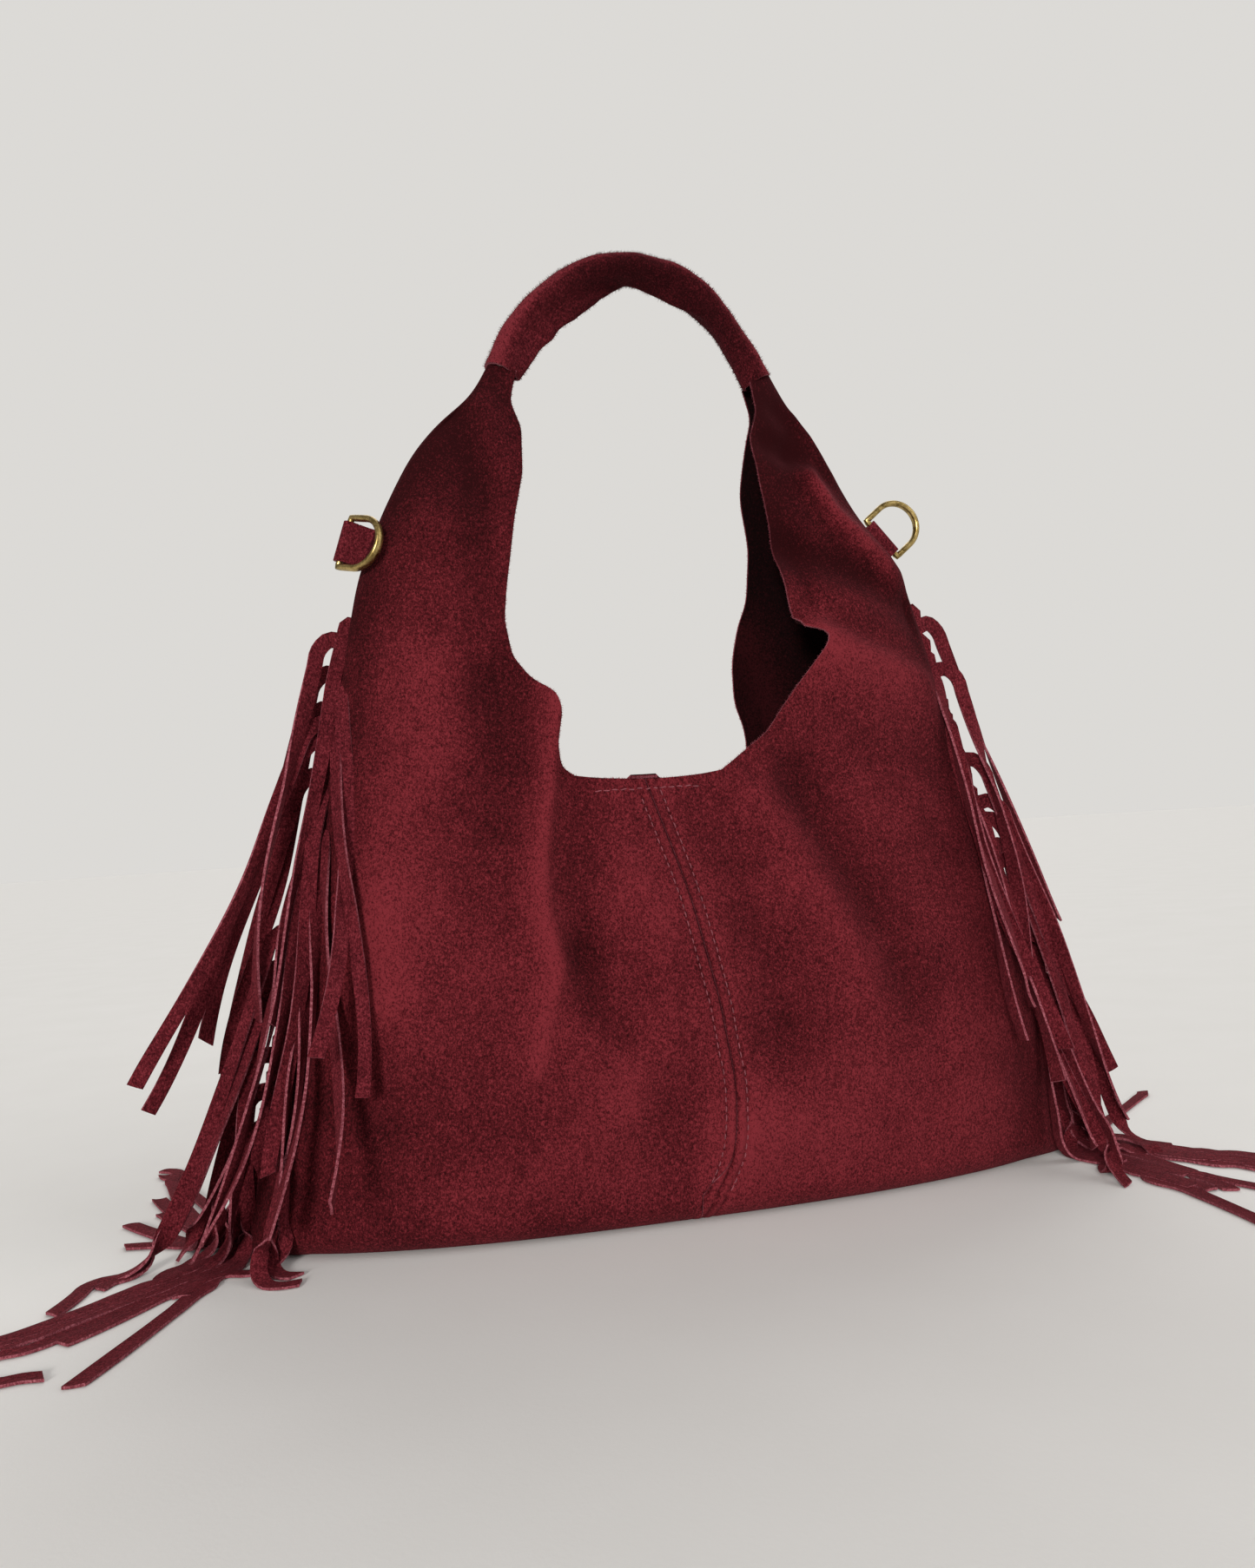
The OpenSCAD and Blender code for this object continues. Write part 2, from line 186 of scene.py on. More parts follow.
NAP = suede("burgundy_suede", (0.018, 0.0013, 0.002), (0.066, 0.0054, 0.0082), (0.168, 0.018, 0.0245))
HANDLE_NAP = suede(
    "handle_suede", (0.017, 0.0013, 0.002), (0.06, 0.005, 0.0078), (0.155, 0.018, 0.0245), 0.2, 40.0)
# the flesh side is darkened to near black: painted shade for the bag's inside and the hidden sides of the
# pieces
FLESH_PAINTED_SHADE = suede(
    "flesh_side_painted_shade", (0.0026, 0.0002, 0.0003), (0.0085, 0.0007, 0.0011), (0.024, 0.0024, 0.0034),
    0.03, 30.0)
STRAND = suede(
    "fringe_suede", (0.024, 0.0019, 0.0031), (0.082, 0.0076, 0.0118), (0.19, 0.024, 0.033), 0.16, 55.0)
CUT = suede("cut_suede_edge", (0.09, 0.014, 0.02), (0.21, 0.048, 0.062), (0.38, 0.12, 0.145), 0.1, 160.0)


def thread_material():
    n = Nodes("sewing_thread")
    twist = n.tree.nodes.new("ShaderNodeTexWave")
    twist.inputs["Scale"].default_value = 900
    twist.inputs["Distortion"].default_value = 2
    n.link(n.coords, twist.inputs["Vector"])
    shade = n.mix(twist.outputs["Fac"], (0.20, 0.024, 0.036), (0.42, 0.080, 0.110))
    n.link(n.mix(n.noise(90, 2.0), shade, (0.075, 0.010, 0.015)), n.shader.inputs["Base Color"])
    n.link(n.bump(twist.outputs["Fac"], 0.5, 0.0002), n.shader.inputs["Normal"])
    return n.finish(Roughness=0.6, Sheen_Weight=0.3, Specular_IOR_Level=0.35)


def metal(name, dark, light, rough):
    """Satin metal: tarnish in patches, fine scratches and brighter rubbed places."""
    n = Nodes(name)
    tarnish = n.noise(240, 4.0, 0.65, 0.6)
    n.link(n.ramp(tarnish, [(0.34, dark), (0.62, light)]), n.shader.inputs["Base Color"])
    fine = n.noise(1.0, 3.0, 0.6, 0.0, n.stretched((500, 3000, 500)))
    spread = n.math("MULTIPLY_ADD", n.math("ADD", tarnish, fine), 0.16)
    spread.node.inputs[2].default_value = rough - 0.16
    n.link(spread, n.shader.inputs["Roughness"])
    n.link(n.bump(fine, 0.18, 0.0001), n.shader.inputs["Normal"])
    return n.finish(Metallic=1.0)


THREAD = thread_material()
BRASS = metal("antique_brass", (0.16, 0.105, 0.03), (0.52, 0.38, 0.15), 0.34)
STEEL = metal("snap_steel", (0.42, 0.41, 0.39), (0.66, 0.65, 0.62), 0.3)


def cotton_material():
    n = Nodes("cotton_rope")
    fibres = n.noise(1.0, 4.0, 0.7, 0.0, n.stretched((900, 300, 900)))
    shade = n.ramp(fibres, [(0.3, (0.42, 0.37, 0.28)), (0.7, (0.72, 0.67, 0.56))])
    n.link(shade, n.shader.inputs["Base Color"])
    n.link(n.bump(fibres, 0.6, 0.0005), n.shader.inputs["Normal"])
    return n.finish(Roughness=0.95, Sheen_Weight=0.3)


COTTON = cotton_material()

# ---- mesh helpers


def make_mesh(name, points, faces, materials, marks=None, smooth_angle=50):
    """A mesh piece from points in millimetres. marks gives each face's material."""
    mesh = bpy.data.meshes.new(name)
    mesh.from_pydata((np.asarray(points, float) * MM).tolist(), [], [list(map(int, f)) for f in faces])
    for material in materials:
        mesh.materials.append(material)
    if marks is not None:
        mesh.polygons.foreach_set("material_index", np.asarray(marks, np.int32))
    mesh.polygons.foreach_set("use_smooth", np.ones(len(mesh.polygons), bool))
    mesh.set_sharp_from_angle(angle=math.radians(smooth_angle))
    mesh.update()
    piece = bpy.data.objects.new(name, mesh)
    bpy.context.collection.objects.link(piece)
    return piece


def set_painted_light_and_tone(piece, values):
    """How far each point is painted lighter (above 0) or darker (below 0): painted light and shade, and
    lighter bands along the centre seams.
    """
    own = piece.data.attributes.new("painted_light_and_nap_tone", "FLOAT", "POINT")
    own.data.foreach_set("value", np.asarray(values, np.float32).ravel())


def unit(v):
    return v / np.maximum(np.linalg.norm(v, axis=-1, keepdims=True), 1e-9)


def bell(distance, width):
    return np.exp(-((distance / width) ** 2))


def run_along(points):
    """Distance travelled at each of a line's points."""
    return np.concatenate([[0], np.cumsum(np.linalg.norm(np.diff(points, axis=0), axis=1))])


def dense(points, soft, step=1.0):
    """Points [key, x, z] as a line with a point every step, rounded off over soft, with its ends kept."""
    p = np.asarray(points, float)
    run = run_along(p[:, 1:])
    at = np.linspace(0, run[-1], max(8, int(run[-1] / step)))
    line = np.stack([np.interp(at, run, column) for column in p.T], 1)
    reach = int(3 * soft / step)
    kernel = np.exp(-0.5 * (np.arange(-reach, reach + 1) * step / soft) ** 2)
    kernel /= kernel.sum()
    for k in range(1, p.shape[1]):
        v = line[:, k]
        before = 2 * v[0] - v[1:reach + 1][::-1]
        after = 2 * v[-1] - v[-reach - 1:-1][::-1]
        line[:, k] = np.convolve(np.concatenate([before, v, after]), kernel, "valid")
    return line


def shell(name, outside, inside, materials, closed=False):
    """A closed skin from two matching grids: outer faces, inner faces and the cut rim."""
    rows, cols = outside.shape[:2]
    far = rows * cols
    index = np.arange(far).reshape(rows, cols)
    here = index if closed else index[:, :-1]
    there = np.roll(index, -1, 1) if closed else index[:, 1:]
    outer = np.stack([here[:-1], there[:-1], there[1:], here[1:]], -1).reshape(-1, 4)
    edges = [index[0], index[-1][::-1]]
    if not closed:
        edges += [index[:, -1], index[:, 0][::-1]]
    rims = []
    for line in edges:
        p, q = (line, np.roll(line, -1)) if closed else (line[:-1], line[1:])
        rims.append(np.stack([q, p, p + far, q + far], -1))
    groups = [outer, outer[:, ::-1] + far, np.concatenate(rims)]
    kinds = np.concatenate([np.full(len(faces), kind) for kind, faces in enumerate(groups)])
    points = np.concatenate([outside.reshape(-1, 3), inside.reshape(-1, 3)])
    return make_mesh(name, points, np.concatenate(groups), materials, kinds)


def grid_normals(grid):
    du, dv = np.gradient(grid, axis=1), np.gradient(grid, axis=0)
    return unit(np.cross(du, dv))


# ---- the bag's shape, as in the CAD, in millimetres

SUEDE = 1.6
SEAM_GAP = 1.5
HALF_DEPTH = 46.0
BASE_ROUND = 14.0
BASE_ROWS = 16
PANEL_COLUMNS, PANEL_ROWS = 120, 190
STITCHES_OFF = 5.1
LEFT_SEAM = [
    (-212, 0), (-204, 34), (-196, 70), (-186, 112), (-177, 155), (-166, 205), (-158, 245),
    (-151, 282), (-144, 315), (-131, 346), (-115, 376), (-98, 395), (-84, 404), (-75, 421),
]
RIGHT_SEAM = [
    (212, 0), (208, 34), (203, 70), (194, 112), (183, 155), (169, 205), (158, 245),
    (149, 282), (140, 312), (120, 338), (106, 364), (95, 386), (83, 399), (73, 419),
]
FRONT_CENTRE = [(-4, 0), (12, 30), (16, 62), (11, 104), (1, 157), (-14, 209)]
BACK_CENTRE = [(-4, 0), (2, 30), (4, 62), (2, 104), (-2, 157), (-8, 205)]
FRONT_LEFT_EDGE = [
    (5.4, -29, 210), (6, -46, 211), (6.25, -54, 217), (6.6, -55.5, 228), (7.0, -52, 244), (7.25, -55, 253),
    (7.5, -65, 261), (7.8, -73, 272), (8.2, -76, 289), (8.6, -74, 305), (9.4, -68, 339), (10, -62, 363),
    (11, -60.5, 387), (12, -65, 401), (13, -61, 417),
]
FRONT_RIGHT_EDGE = [
    (5.5, 4, 209), (6, 22, 210), (7, 50, 229), (7.6, 68, 252), (8.0, 84, 272), (8.1, 85.5, 277.5),
    (8.2, 78, 280), (8.3, 71.5, 281), (8.5, 69, 293), (8.9, 65.5, 329), (10, 60, 356), (11, 57.5, 383),
    (12, 62.5, 397), (13, 61, 414),
]
BACK_LEFT_EDGE = [
    (6, -44, 210), (7, -62, 240), (8, -74, 282), (9, -72, 318), (10, -64, 362), (11, -62, 385),
    (12, -66, 400), (13, -61, 417),
]
BACK_RIGHT_EDGE = [
    (6, 22, 207), (6.5, 45, 208), (7, 58, 221), (7.4, 57, 236), (7.8, 52, 250), (8.3, 52, 270), (9, 60, 302),
    (9.6, 62, 332), (10.4, 58, 360), (11, 61, 380), (12, 66, 398), (13, 61, 414),
]
# how full the bag stands at each height
FULLNESS = np.array([
    (-60, 1), (0, 1), (60, 1.05), (120, 0.95), (180, 0.72), (210, 0.58), (260, 0.48), (320, 0.36),
    (370, 0.24), (400, 0.12), (424, 0.075), (460, 0.06),
])
FULL_Z = np.arange(-60.0, 460.0, 1.0)
kernel = np.exp(-0.5 * (np.arange(-36, 37) / 12.0) ** 2)
full = np.pad(np.interp(FULL_Z, FULLNESS[:, 0], FULLNESS[:, 1]), 36, "edge")
FULL = np.convolve(full, kernel / kernel.sum(), "valid")


def plump(u):
    """A panel's section, from 0 at the side seam to 1 at the centre."""
    return (1 - (1 - np.clip(u, 0, 1)) ** 2.6) ** 0.65


def depth(u, z):
    """How far a face stands off the bag's middle plane, u of the way in from the side seam."""
    off_seam = np.clip(u / 0.03, 0, 1)
    pinch = 1.1 * (1 - off_seam)
    foot = np.maximum(0, 1.6 - z / 20) * off_seam
    return SEAM_GAP + SUEDE - pinch + foot + HALF_DEPTH * plump(u) * np.interp(z, FULL_Z, FULL)


def keyed(points, first=0):
    return [(first + k, *p) for k, p in enumerate(points)]


def rail(line):
    return lambda keys: (np.interp(keys, line[:, 0], line[:, 1]), np.interp(keys, line[:, 0], line[:, 2]))


LEFT_RAIL = dense(keyed(LEFT_SEAM), 9)
RIGHT_RAIL = dense(keyed(RIGHT_SEAM), 9)


def inner_rail(centre, edge, soft):
    low = dense(keyed(centre), 9)
    high = dense([(5, *centre[-1])] + edge, soft)
    return np.concatenate([low[:-1], high])


def seam_x(side, z):
    line = LEFT_RAIL if side < 0 else RIGHT_RAIL
    return np.interp(z, line[:, 2], line[:, 1])


def fold(x, z, line, start, end, wide_a, wide_b):
    """A soft fold along a line, with its heights at start and end and its widths on the two sides."""
    p = np.asarray(line, float)
    run = run_along(p)
    near, share, hand = np.full(x.shape, 1e9), np.zeros(x.shape), np.ones(x.shape)
    for k in range(len(p) - 1):
        d = p[k + 1] - p[k]
        t = np.clip(((x - p[k, 0]) * d[0] + (z - p[k, 1]) * d[1]) / (d @ d), 0, 1)
        gx, gz = x - p[k, 0] - t * d[0], z - p[k, 1] - t * d[1]
        far = np.hypot(gx, gz)
        nearer = far < near
        near = np.where(nearer, far, near)
        share = np.where(nearer, (run[k] + t * (run[k + 1] - run[k])) / run[-1], share)
        hand = np.where(nearer, np.sign(d[0] * gz - d[1] * gx), hand)
    return (start + (end - start) * share) * bell(near, np.where(hand > 0, wide_a, wide_b))


def with_folds(total, x, z, folds):
    for line in folds:
        total = total + fold(x, z, *line)
    return total


def waves(x, z, seed, high, size):
    """Slow unevenness: a few crossed waves."""
    r = np.random.default_rng(seed)
    total = np.zeros(x.shape)
    for _ in range(9):
        angle = r.uniform(0, math.pi)
        length = size * r.uniform(0.6, 1.6)
        phase = r.uniform(0, 2 * math.pi)
        total += np.sin((x * math.cos(angle) + z * math.sin(angle)) * 2 * math.pi / length + phase)
    return total * high / 3


# each fold: its line, its heights at the line's start and end, and its widths on the line's two sides
FRONT_FOLDS = [
    # the fold that runs down from the lobe at the left of the opening, sharp on its right
    ([(-54, 250), (-59, 216), (-67, 174), (-68, 148), (-62, 124), (-70, 104), (-76, 78)], 7.5, 3.0, 4, 10),
    ([(-48, 200), (-52, 160), (-51, 128)], -1.0, -4.6, 9, 9),
    ([(-51, 128), (-47, 104), (-36, 88)], -4.6, -3.0, 9, 9),
    ([(-84, 258), (-86, 200), (-94, 150)], -6.0, -1.5, 20, 15),
    # the broad bulge down the left side
    ([(-104, 330), (-112, 270), (-138, 190), (-150, 120)], 4.0, 6.0, 24, 22),
    ([(-92, 392), (-84, 350), (-90, 296)], -3.4, -2.0, 7, 11),
    ([(-78, 398), (-70, 360), (-75, 320)], 2.6, 1.6, 8, 8),
    ([(-128, 352), (-112, 318), (-108, 286)], -2.2, -2.0, 8, 12),
    # faint folds beside the centre seam
    ([(-26, 172), (-15, 142), (-12, 108)], 2.6, 1.0, 6, 11),
    ([(-24, 118), (-28, 88), (-22, 56)], -1.0, -2.4, 12, 12),
    ([(44, 196), (58, 170), (74, 138), (88, 104)], 3.6, 2.2, 8, 17),
    ([(60, 206), (80, 168), (102, 124), (112, 92)], -4.8, -2.4, 14, 9),
    ([(26, 152), (40, 112), (38, 80)], -2.0, -3.4, 13, 13),
    # the swag from the notch of the opening to the right ring, with deep hollows over it
    ([(82, 279), (100, 270), (130, 259), (154, 250)], 10.0, 4.0, 7, 26),
    ([(62, 326), (90, 317), (116, 308), (146, 288)], -8.5, -5.0, 9, 11),
    ([(88, 362), (97, 344), (110, 331), (122, 318), (132, 304)], 10.0, 3.0, 6, 7),
    ([(66, 380), (82, 372), (92, 364)], -5.0, -4.0, 9, 8),
    ([(86, 396), (98, 380), (104, 366)], 3.4, 3.6, 6, 6),
    ([(62, 340), (74, 326), (80, 300)], -2.4, -3.0, 7, 10),
    ([(74, 398), (82, 388), (78, 374)], -4.0, -4.0, 7, 7),
    # the low belly above the base
    ([(140, 58), (70, 40), (20, 34)], 2.4, 3.2, 26, 22),
    ([(-160, 72), (-110, 50), (-60, 44)], -2.6, -2.0, 16, 20),
    ([(-30, 66), (-60, 40), (-130, 26)], 3.0, 1.6, 14, 14),
]
BACK_FOLDS = [
    ([(-70, 300), (-84, 240), (-80, 180), (-92, 110)], 6.0, 2.0, 14, 9),
    ([(-50, 220), (-58, 160), (-52, 100)], -5.0, -1.6, 14, 12),
    ([(58, 290), (80, 230), (96, 170), (92, 110)], 7.0, 2.0, 10, 15),
    ([(84, 300), (112, 230), (124, 160)], -5.0, -2.0, 14, 14),
    ([(70, 390), (90, 350), (110, 310)], 3.6, 3.6, 8, 8),
    ([(-74, 396), (-96, 350), (-118, 300)], 3.6, 3.0, 8, 8),
    ([(20, 190), (30, 140), (20, 90)], -1.0, -3.4, 12, 12),
    ([(-120, 40), (0, 30), (120, 44)], 1.6, 1.6, 18, 18),
]
# painted highlights and painted shade on the front, beyond the painted light and shade its folds give
FRONT_PAINTED_LIGHT = [
    ([(-146, 150), (-154, 90), (-158, 10)], 0.02, -0.08, 34, 34),
    ([(-104, 372), (-98, 340)], -0.08, -0.05, 18, 18),
    ([(-60, 220), (-68, 160), (-63, 126), (-76, 80)], 0.03, 0.08, 4, 6),
    ([(-30, 180), (-26, 110), (-30, 60)], 0.02, 0.05, 14, 14),
    ([(92, 356), (100, 340), (112, 330), (128, 316)], 0.10, 0.14, 5, 5),
    ([(72, 296), (104, 292)], 0.08, 0.02, 12, 12),
    ([(70, 400), (74, 372), (68, 350)], -0.18, -0.10, 15, 15),
]


def relief(x, z, face):
    """How far a face stands out from its plain shape: the folds of the slouching suede."""
    if face > 0:
        return with_folds(waves(x, z, 3, 0.8, 75) + waves(x, z, 4, 0.25, 24), x, z, FRONT_FOLDS)
    return with_folds(waves(x, z, 13, 1.0, 80) + waves(x, z, 14, 0.25, 24), x, z, BACK_FOLDS)


def seam_profile(d):
    """The sewn centre seam in section: butted edges that dip, a rib on each side, then a stitch line."""
    far = np.abs(d)
    rough = np.where(d > 0, 0.35, 0.15)
    ribs = 0.9 * bell(far - 2.4, 1.6) - 0.9 * bell(far, 0.5)
    return ribs - 0.8 * bell(far - STITCHES_OFF, 0.8) + rough * bell(far - 7.4, 1.5)


def row_keys(outer_at, inner_at):
    """The keys of a panel's rows, spread evenly over its length, with one of them at the mouth."""
    keys = np.linspace(0, 13, 1301)
    mouth = 500
    legs = [np.hypot(*(np.diff(v) for v in at(keys))) for at in (outer_at, inner_at)]
    run = np.concatenate([[0], np.cumsum(0.5 * (legs[0] + legs[1]))])
    low = int(PANEL_ROWS * run[mouth] / run[-1])
    below = np.linspace(0, run[mouth], low)
    above = np.linspace(run[mouth], run[-1], PANEL_ROWS - low + 1)[1:]
    return np.interp(np.concatenate([below, above]), run, keys)[:, None]


def panel_painted_light_and_tone(folds, u, z, off_seam, below):
    """Painted light and shade: fold ridges lighter and hollows darker, darker towards the top, painted shade
    in the seam's groove and stitch lines with painted highlights on its ribs and lighter bands beside it, and
    darker along the side seams.
    """
    far = np.abs(off_seam)
    # painted shade in the seam's groove and along its stitch lines, painted highlights on its ribs, and
    # lighter bands beside the seam
    sewn = 0.04 * bell(far, 16) + 0.06 * bell(far - 2.6, 1.4) - 0.26 * bell(far, 0.5)
    sewn += 0.06 * bell(off_seam - 7.5, 2) - 0.10 * bell(far - STITCHES_OFF, 0.6)
    # painted shade: darker towards the top of the bag, a little lighter low down
    height = np.interp(z, [0, 60, 150, 260, 330, 400], [0.02, 0.05, 0.03, -0.02, -0.13, -0.22])
    # painted highlights on the folds' ridges and painted shade in their hollows, and darker along the side
    # seams
    return 0.032 * np.clip(folds, -8, 9) + height + below * sewn - 0.16 * bell(u, 0.13)


def panel_skin(outer, inner):
    """A half face without folds: its points, the way out at each, and u across it."""
    u = 0.5 * (1 - np.cos(np.pi * np.linspace(0, 1, PANEL_COLUMNS)))[None, :]
    outer_at, inner_at = rail(outer), rail(inner)
    keys = row_keys(outer_at, inner_at)
    d0 = depth(u, 0.0)
    r0 = np.maximum(2.0, np.minimum(BASE_ROUND, d0 / 2))
    xa, za = outer_at(keys)
    xb, zb = inner_at(keys)
    z = za + (zb - za) * u + r0 * np.clip(1 - keys, 0, 1)
    x = xa + (xb - xa) * u
    ahead, behind = np.minimum(u + 0.002, 1), np.maximum(u - 0.002, 0)
    slope_x = (depth(ahead, z) - depth(behind, z)) / (0.004 * (xb - xa))
    slope_z = (depth(u, z + 1) - depth(u, z - 1)) / 2
    rows = np.stack([x, -depth(u, z), z], -1)
    rows_out = unit(np.stack([-slope_x, -1 + 0 * x, -slope_z], -1))
    wide = xa[0] + (xb[0] - xa[0]) * u
    bend = np.linspace(0, math.pi / 2, 9)[:-1, None]
    arc = np.stack([wide + 0 * bend, -(d0 - r0 + r0 * np.sin(bend)), r0 * (1 - np.cos(bend))], -1)
    arc_out = np.stack([0 * bend + 0 * u, -np.sin(bend) + 0 * u, -np.cos(bend) + 0 * u], -1)
    under = np.linspace(0, 1, 7)[:-1, None]
    floor = np.stack([wide + 0 * under, -0.3 - (d0 - r0 - 0.3) * under, 0 * under + 0 * u], -1)
    floor_out = np.zeros(floor.shape) + [0, 0, -1.0]
    return np.concatenate([floor, arc, rows]), np.concatenate([floor_out, arc_out, rows_out]), u


def panel_grid(outer, inner, centre, face, swell):
    """A half face seen from the front, x growing along a row, with its inner side and its painted light and
    shade.
    """
    side = np.sign(outer[0, 1])
    grid, out, u = panel_skin(outer, inner)
    # the butted edges stand 0.3 mm off the seam's own line
    grid[..., 0] += side * 0.3 * np.clip((u - 0.9) * 10, 0, 1)
    gx, gz = grid[..., 0].copy(), grid[..., 2].copy()
    line = dense([(0, centre[0][0], -60)] + keyed(centre, 1), 6)
    off_seam = gx - np.interp(gz, line[:, 2], line[:, 1])
    folds = relief(gx, gz, face)
    held = np.clip(u / 0.07, 0, 1) ** 1.5 * np.clip(gz / 26, 0, 1)
    held = held * (1 - 0.7 * np.clip((gz - 398) / 14, 0, 1))
    below = np.clip((centre[-1][1] + 3 - gz) / 3, 0, 1)
    lift = folds * held + seam_profile(off_seam) * below * np.clip(gz / 10, 0.25, 1)
    # the skin moves along Y where it stands and along its own normal round the base
    stand = np.clip((gz - 16) / 30, 0, 1)[..., None]
    grid = grid + unit(out * (1 - stand) + np.array([0, -1.0, 0]) * stand) * lift[..., None]
    if swell:
        high, at, spread = swell
        near = u / 0.10 * np.exp(1 - u / 0.10)
        grid[..., 0] += side * high * near * bell(gz - at, spread)
    inside = grid - out * SUEDE
    grid[..., 2] = np.maximum(grid[..., 2], 0.0)
    inside[..., 2] = np.maximum(inside[..., 2], SUEDE * 0.6)
    painted_light_and_nap_tone = panel_painted_light_and_tone(folds, u, gz, off_seam, below)
    if side > 0:
        grid, inside, painted_light_and_nap_tone = grid[:, ::-1], inside[:, ::-1], painted_light_and_nap_tone[:, ::-1]
    return grid, inside, painted_light_and_nap_tone


FLIP = np.array([1, -1, 1])
PANELS = {
    "front_left_panel": (LEFT_RAIL, FRONT_CENTRE, FRONT_LEFT_EDGE, 1, None),
    "front_right_panel": (RIGHT_RAIL, FRONT_CENTRE, FRONT_RIGHT_EDGE, 1, (5.0, 320, 16)),
    "back_left_panel": (LEFT_RAIL, BACK_CENTRE, BACK_LEFT_EDGE, -1, None),
    "back_right_panel": (RIGHT_RAIL, BACK_CENTRE, BACK_RIGHT_EDGE, -1, None),
}
surfaces = {}
for name, (outer, centre, edge, face, swell) in PANELS.items():
    inner = inner_rail(centre, edge, 2.2 if face > 0 else 4.0)
    grid, inside, painted_light_and_nap_tone = panel_grid(outer, inner, centre, face, swell)
    if face < 0:
        grid, inside, painted_light_and_nap_tone = (grid * FLIP)[:, ::-1], (inside * FLIP)[:, ::-1], painted_light_and_nap_tone[:, ::-1]
    else:
        # painted highlights and painted shade on the front
        painted_light_and_nap_tone = painted_light_and_nap_tone + with_folds(0, grid[..., 0], grid[..., 2], FRONT_PAINTED_LIGHT)
    surfaces[name] = grid
    piece = shell(name.replace("_panel", "_suede"), grid, inside, [NAP, FLESH_PAINTED_SHADE, CUT])
    set_painted_light_and_tone(piece, [painted_light_and_nap_tone, painted_light_and_nap_tone])
    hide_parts(name)
    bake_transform(piece)


SIDES = ("left", "right")
FACES = (("front", FRONT_CENTRE, 1), ("back", BACK_CENTRE, -1))


def on_face(x, z, face, lift):
    """A place on the outer side of the front (1) or back (-1), lifted off it."""
    word = "front" if face > 0 else "back"
    points = np.concatenate([surfaces[f"{word}_{half}_panel"][BASE_ROWS:].reshape(-1, 3) for half in SIDES])
    near = points[((points[:, [0, 2]] - [x, z]) ** 2).sum(1).argmin()]
    return np.array([x, near[1] - face * lift, z])


# ---- the handle

HANDLE_LINE = [
    (-67, 421), (-58, 440), (-43, 457), (-22, 470), (2, 475), (26, 469), (45, 454), (58, 434), (66, 418),
]
handle_dense = dense(keyed(HANDLE_LINE), 7)[:, 1:]
first, last = handle_dense[0], handle_dense[-1]
start_way = unit(handle_dense[6] - first)
end_way = unit(last - handle_dense[-7])
handle_xz = np.concatenate([[first - start_way * 2.5], handle_dense, [last + end_way * 2.5]])
share = run_along(handle_xz)
share = share / share[-1]
HANDLE_S = np.linspace(0, 1, 150)
handle_x, handle_z = (np.interp(HANDLE_S, share, handle_xz[:, k]) for k in (0, 1))
handle_path = np.stack([handle_x, 0 * HANDLE_S, handle_z], 1)
handle_along = unit(np.gradient(handle_path, axis=0))
handle_out = np.stack([-handle_along[:, 2], 0 * HANDLE_S, handle_along[:, 0]], 1)


def handle_section(less, sewn=True, sides=72):
    """Offsets round the handle at each place: an oval, with a sewn lip along its underside."""
    s = HANDLE_S[:, None]
    a = np.linspace(0, 2 * math.pi, sides, endpoint=False)[None, :]
    thick = np.interp(s, [0, 0.2, 0.5, 0.7, 0.85, 1], [8.2, 8.0, 7.4, 7.2, 6.2, 7.4]) - less
    deep = 13 - 4 * (2 * s - 1) ** 2 - less
    r_out, r_side = thick * np.cos(a), deep * np.sin(a)
    if not sewn:
        return np.stack([r_out, r_side], -1)
    high = np.interp(s, [0, 0.06, 0.16, 0.3, 0.42, 0.49, 0.56, 0.64, 0.69, 0.76, 0.9, 1],
                     [2.0, 4.0, 8.5, 8.0, 4.2, 0.4, 2.0, 4.2, 4.0, 0.8, 0.4, 0.6])
    away = np.angle(np.exp(1j * (a - math.pi - 0.32 * np.sin(s * 9 + 0.6))))
    r_out = r_out - high * bell(away, 0.36)
    r_side = r_side * (1 - 0.25 * bell(away, 0.8))
    flare = 0.3 * (np.exp(-s / 0.03) + np.exp(-(1 - s) / 0.03))
    ripple = 0.4 * np.sin(s * 23 + a * 2) + 0.15 * np.sin(s * 61 + 2 * np.cos(a))
    ripple += 0.05 * np.sin(s * 131 + a * 3)
    grow = 1 + (ripple + flare) / 9.0
    return np.stack([r_out * grow, r_side * grow], -1)


def ring_points(section):
    """A section's offsets as points round the handle's line."""
    outward = handle_out[:, None, :] * section[..., :1]
    return handle_path[:, None, :] + outward + np.array([0, 1.0, 0]) * section[..., 1:]


def rod_faces(n, m, base=0):
    """The faces of a rod through n rings of m points, with a face over each end."""
    index = base + np.arange(n * m).reshape(n, m)
    onward = np.roll(index, -1, 1)
    sides = np.stack([index[:-1], onward[:-1], onward[1:], index[1:]], -1).reshape(-1, 4)
    return sides.tolist() + [index[0][::-1].tolist(), index[-1].tolist()]


sleeve_points = ring_points(handle_section(0))
sleeve_inside = ring_points(handle_section(SUEDE))
sleeve = shell("handle_suede_sleeve", sleeve_points, sleeve_inside, [HANDLE_NAP, FLESH_PAINTED_SHADE, CUT], closed=True)
around = np.linspace(0, 2 * math.pi, 72, endpoint=False)[None, :]
# painted light on the handle: lighter towards its ends, most at the left, and lighter along its upper, outer
# side with painted shade under it
along_light = np.interp(HANDLE_S, [0, 0.14, 0.32, 0.5, 0.8, 1], [0.34, 0.30, 0.12, 0.0, 0.05, 0.18])
shade = 0.17 * np.tanh((np.cos(around) - 0.3) * 5) - 0.10 + along_light[:, None]
set_painted_light_and_tone(sleeve, [shade, shade])
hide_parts("handle_sleeve")
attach(sleeve, "handle")

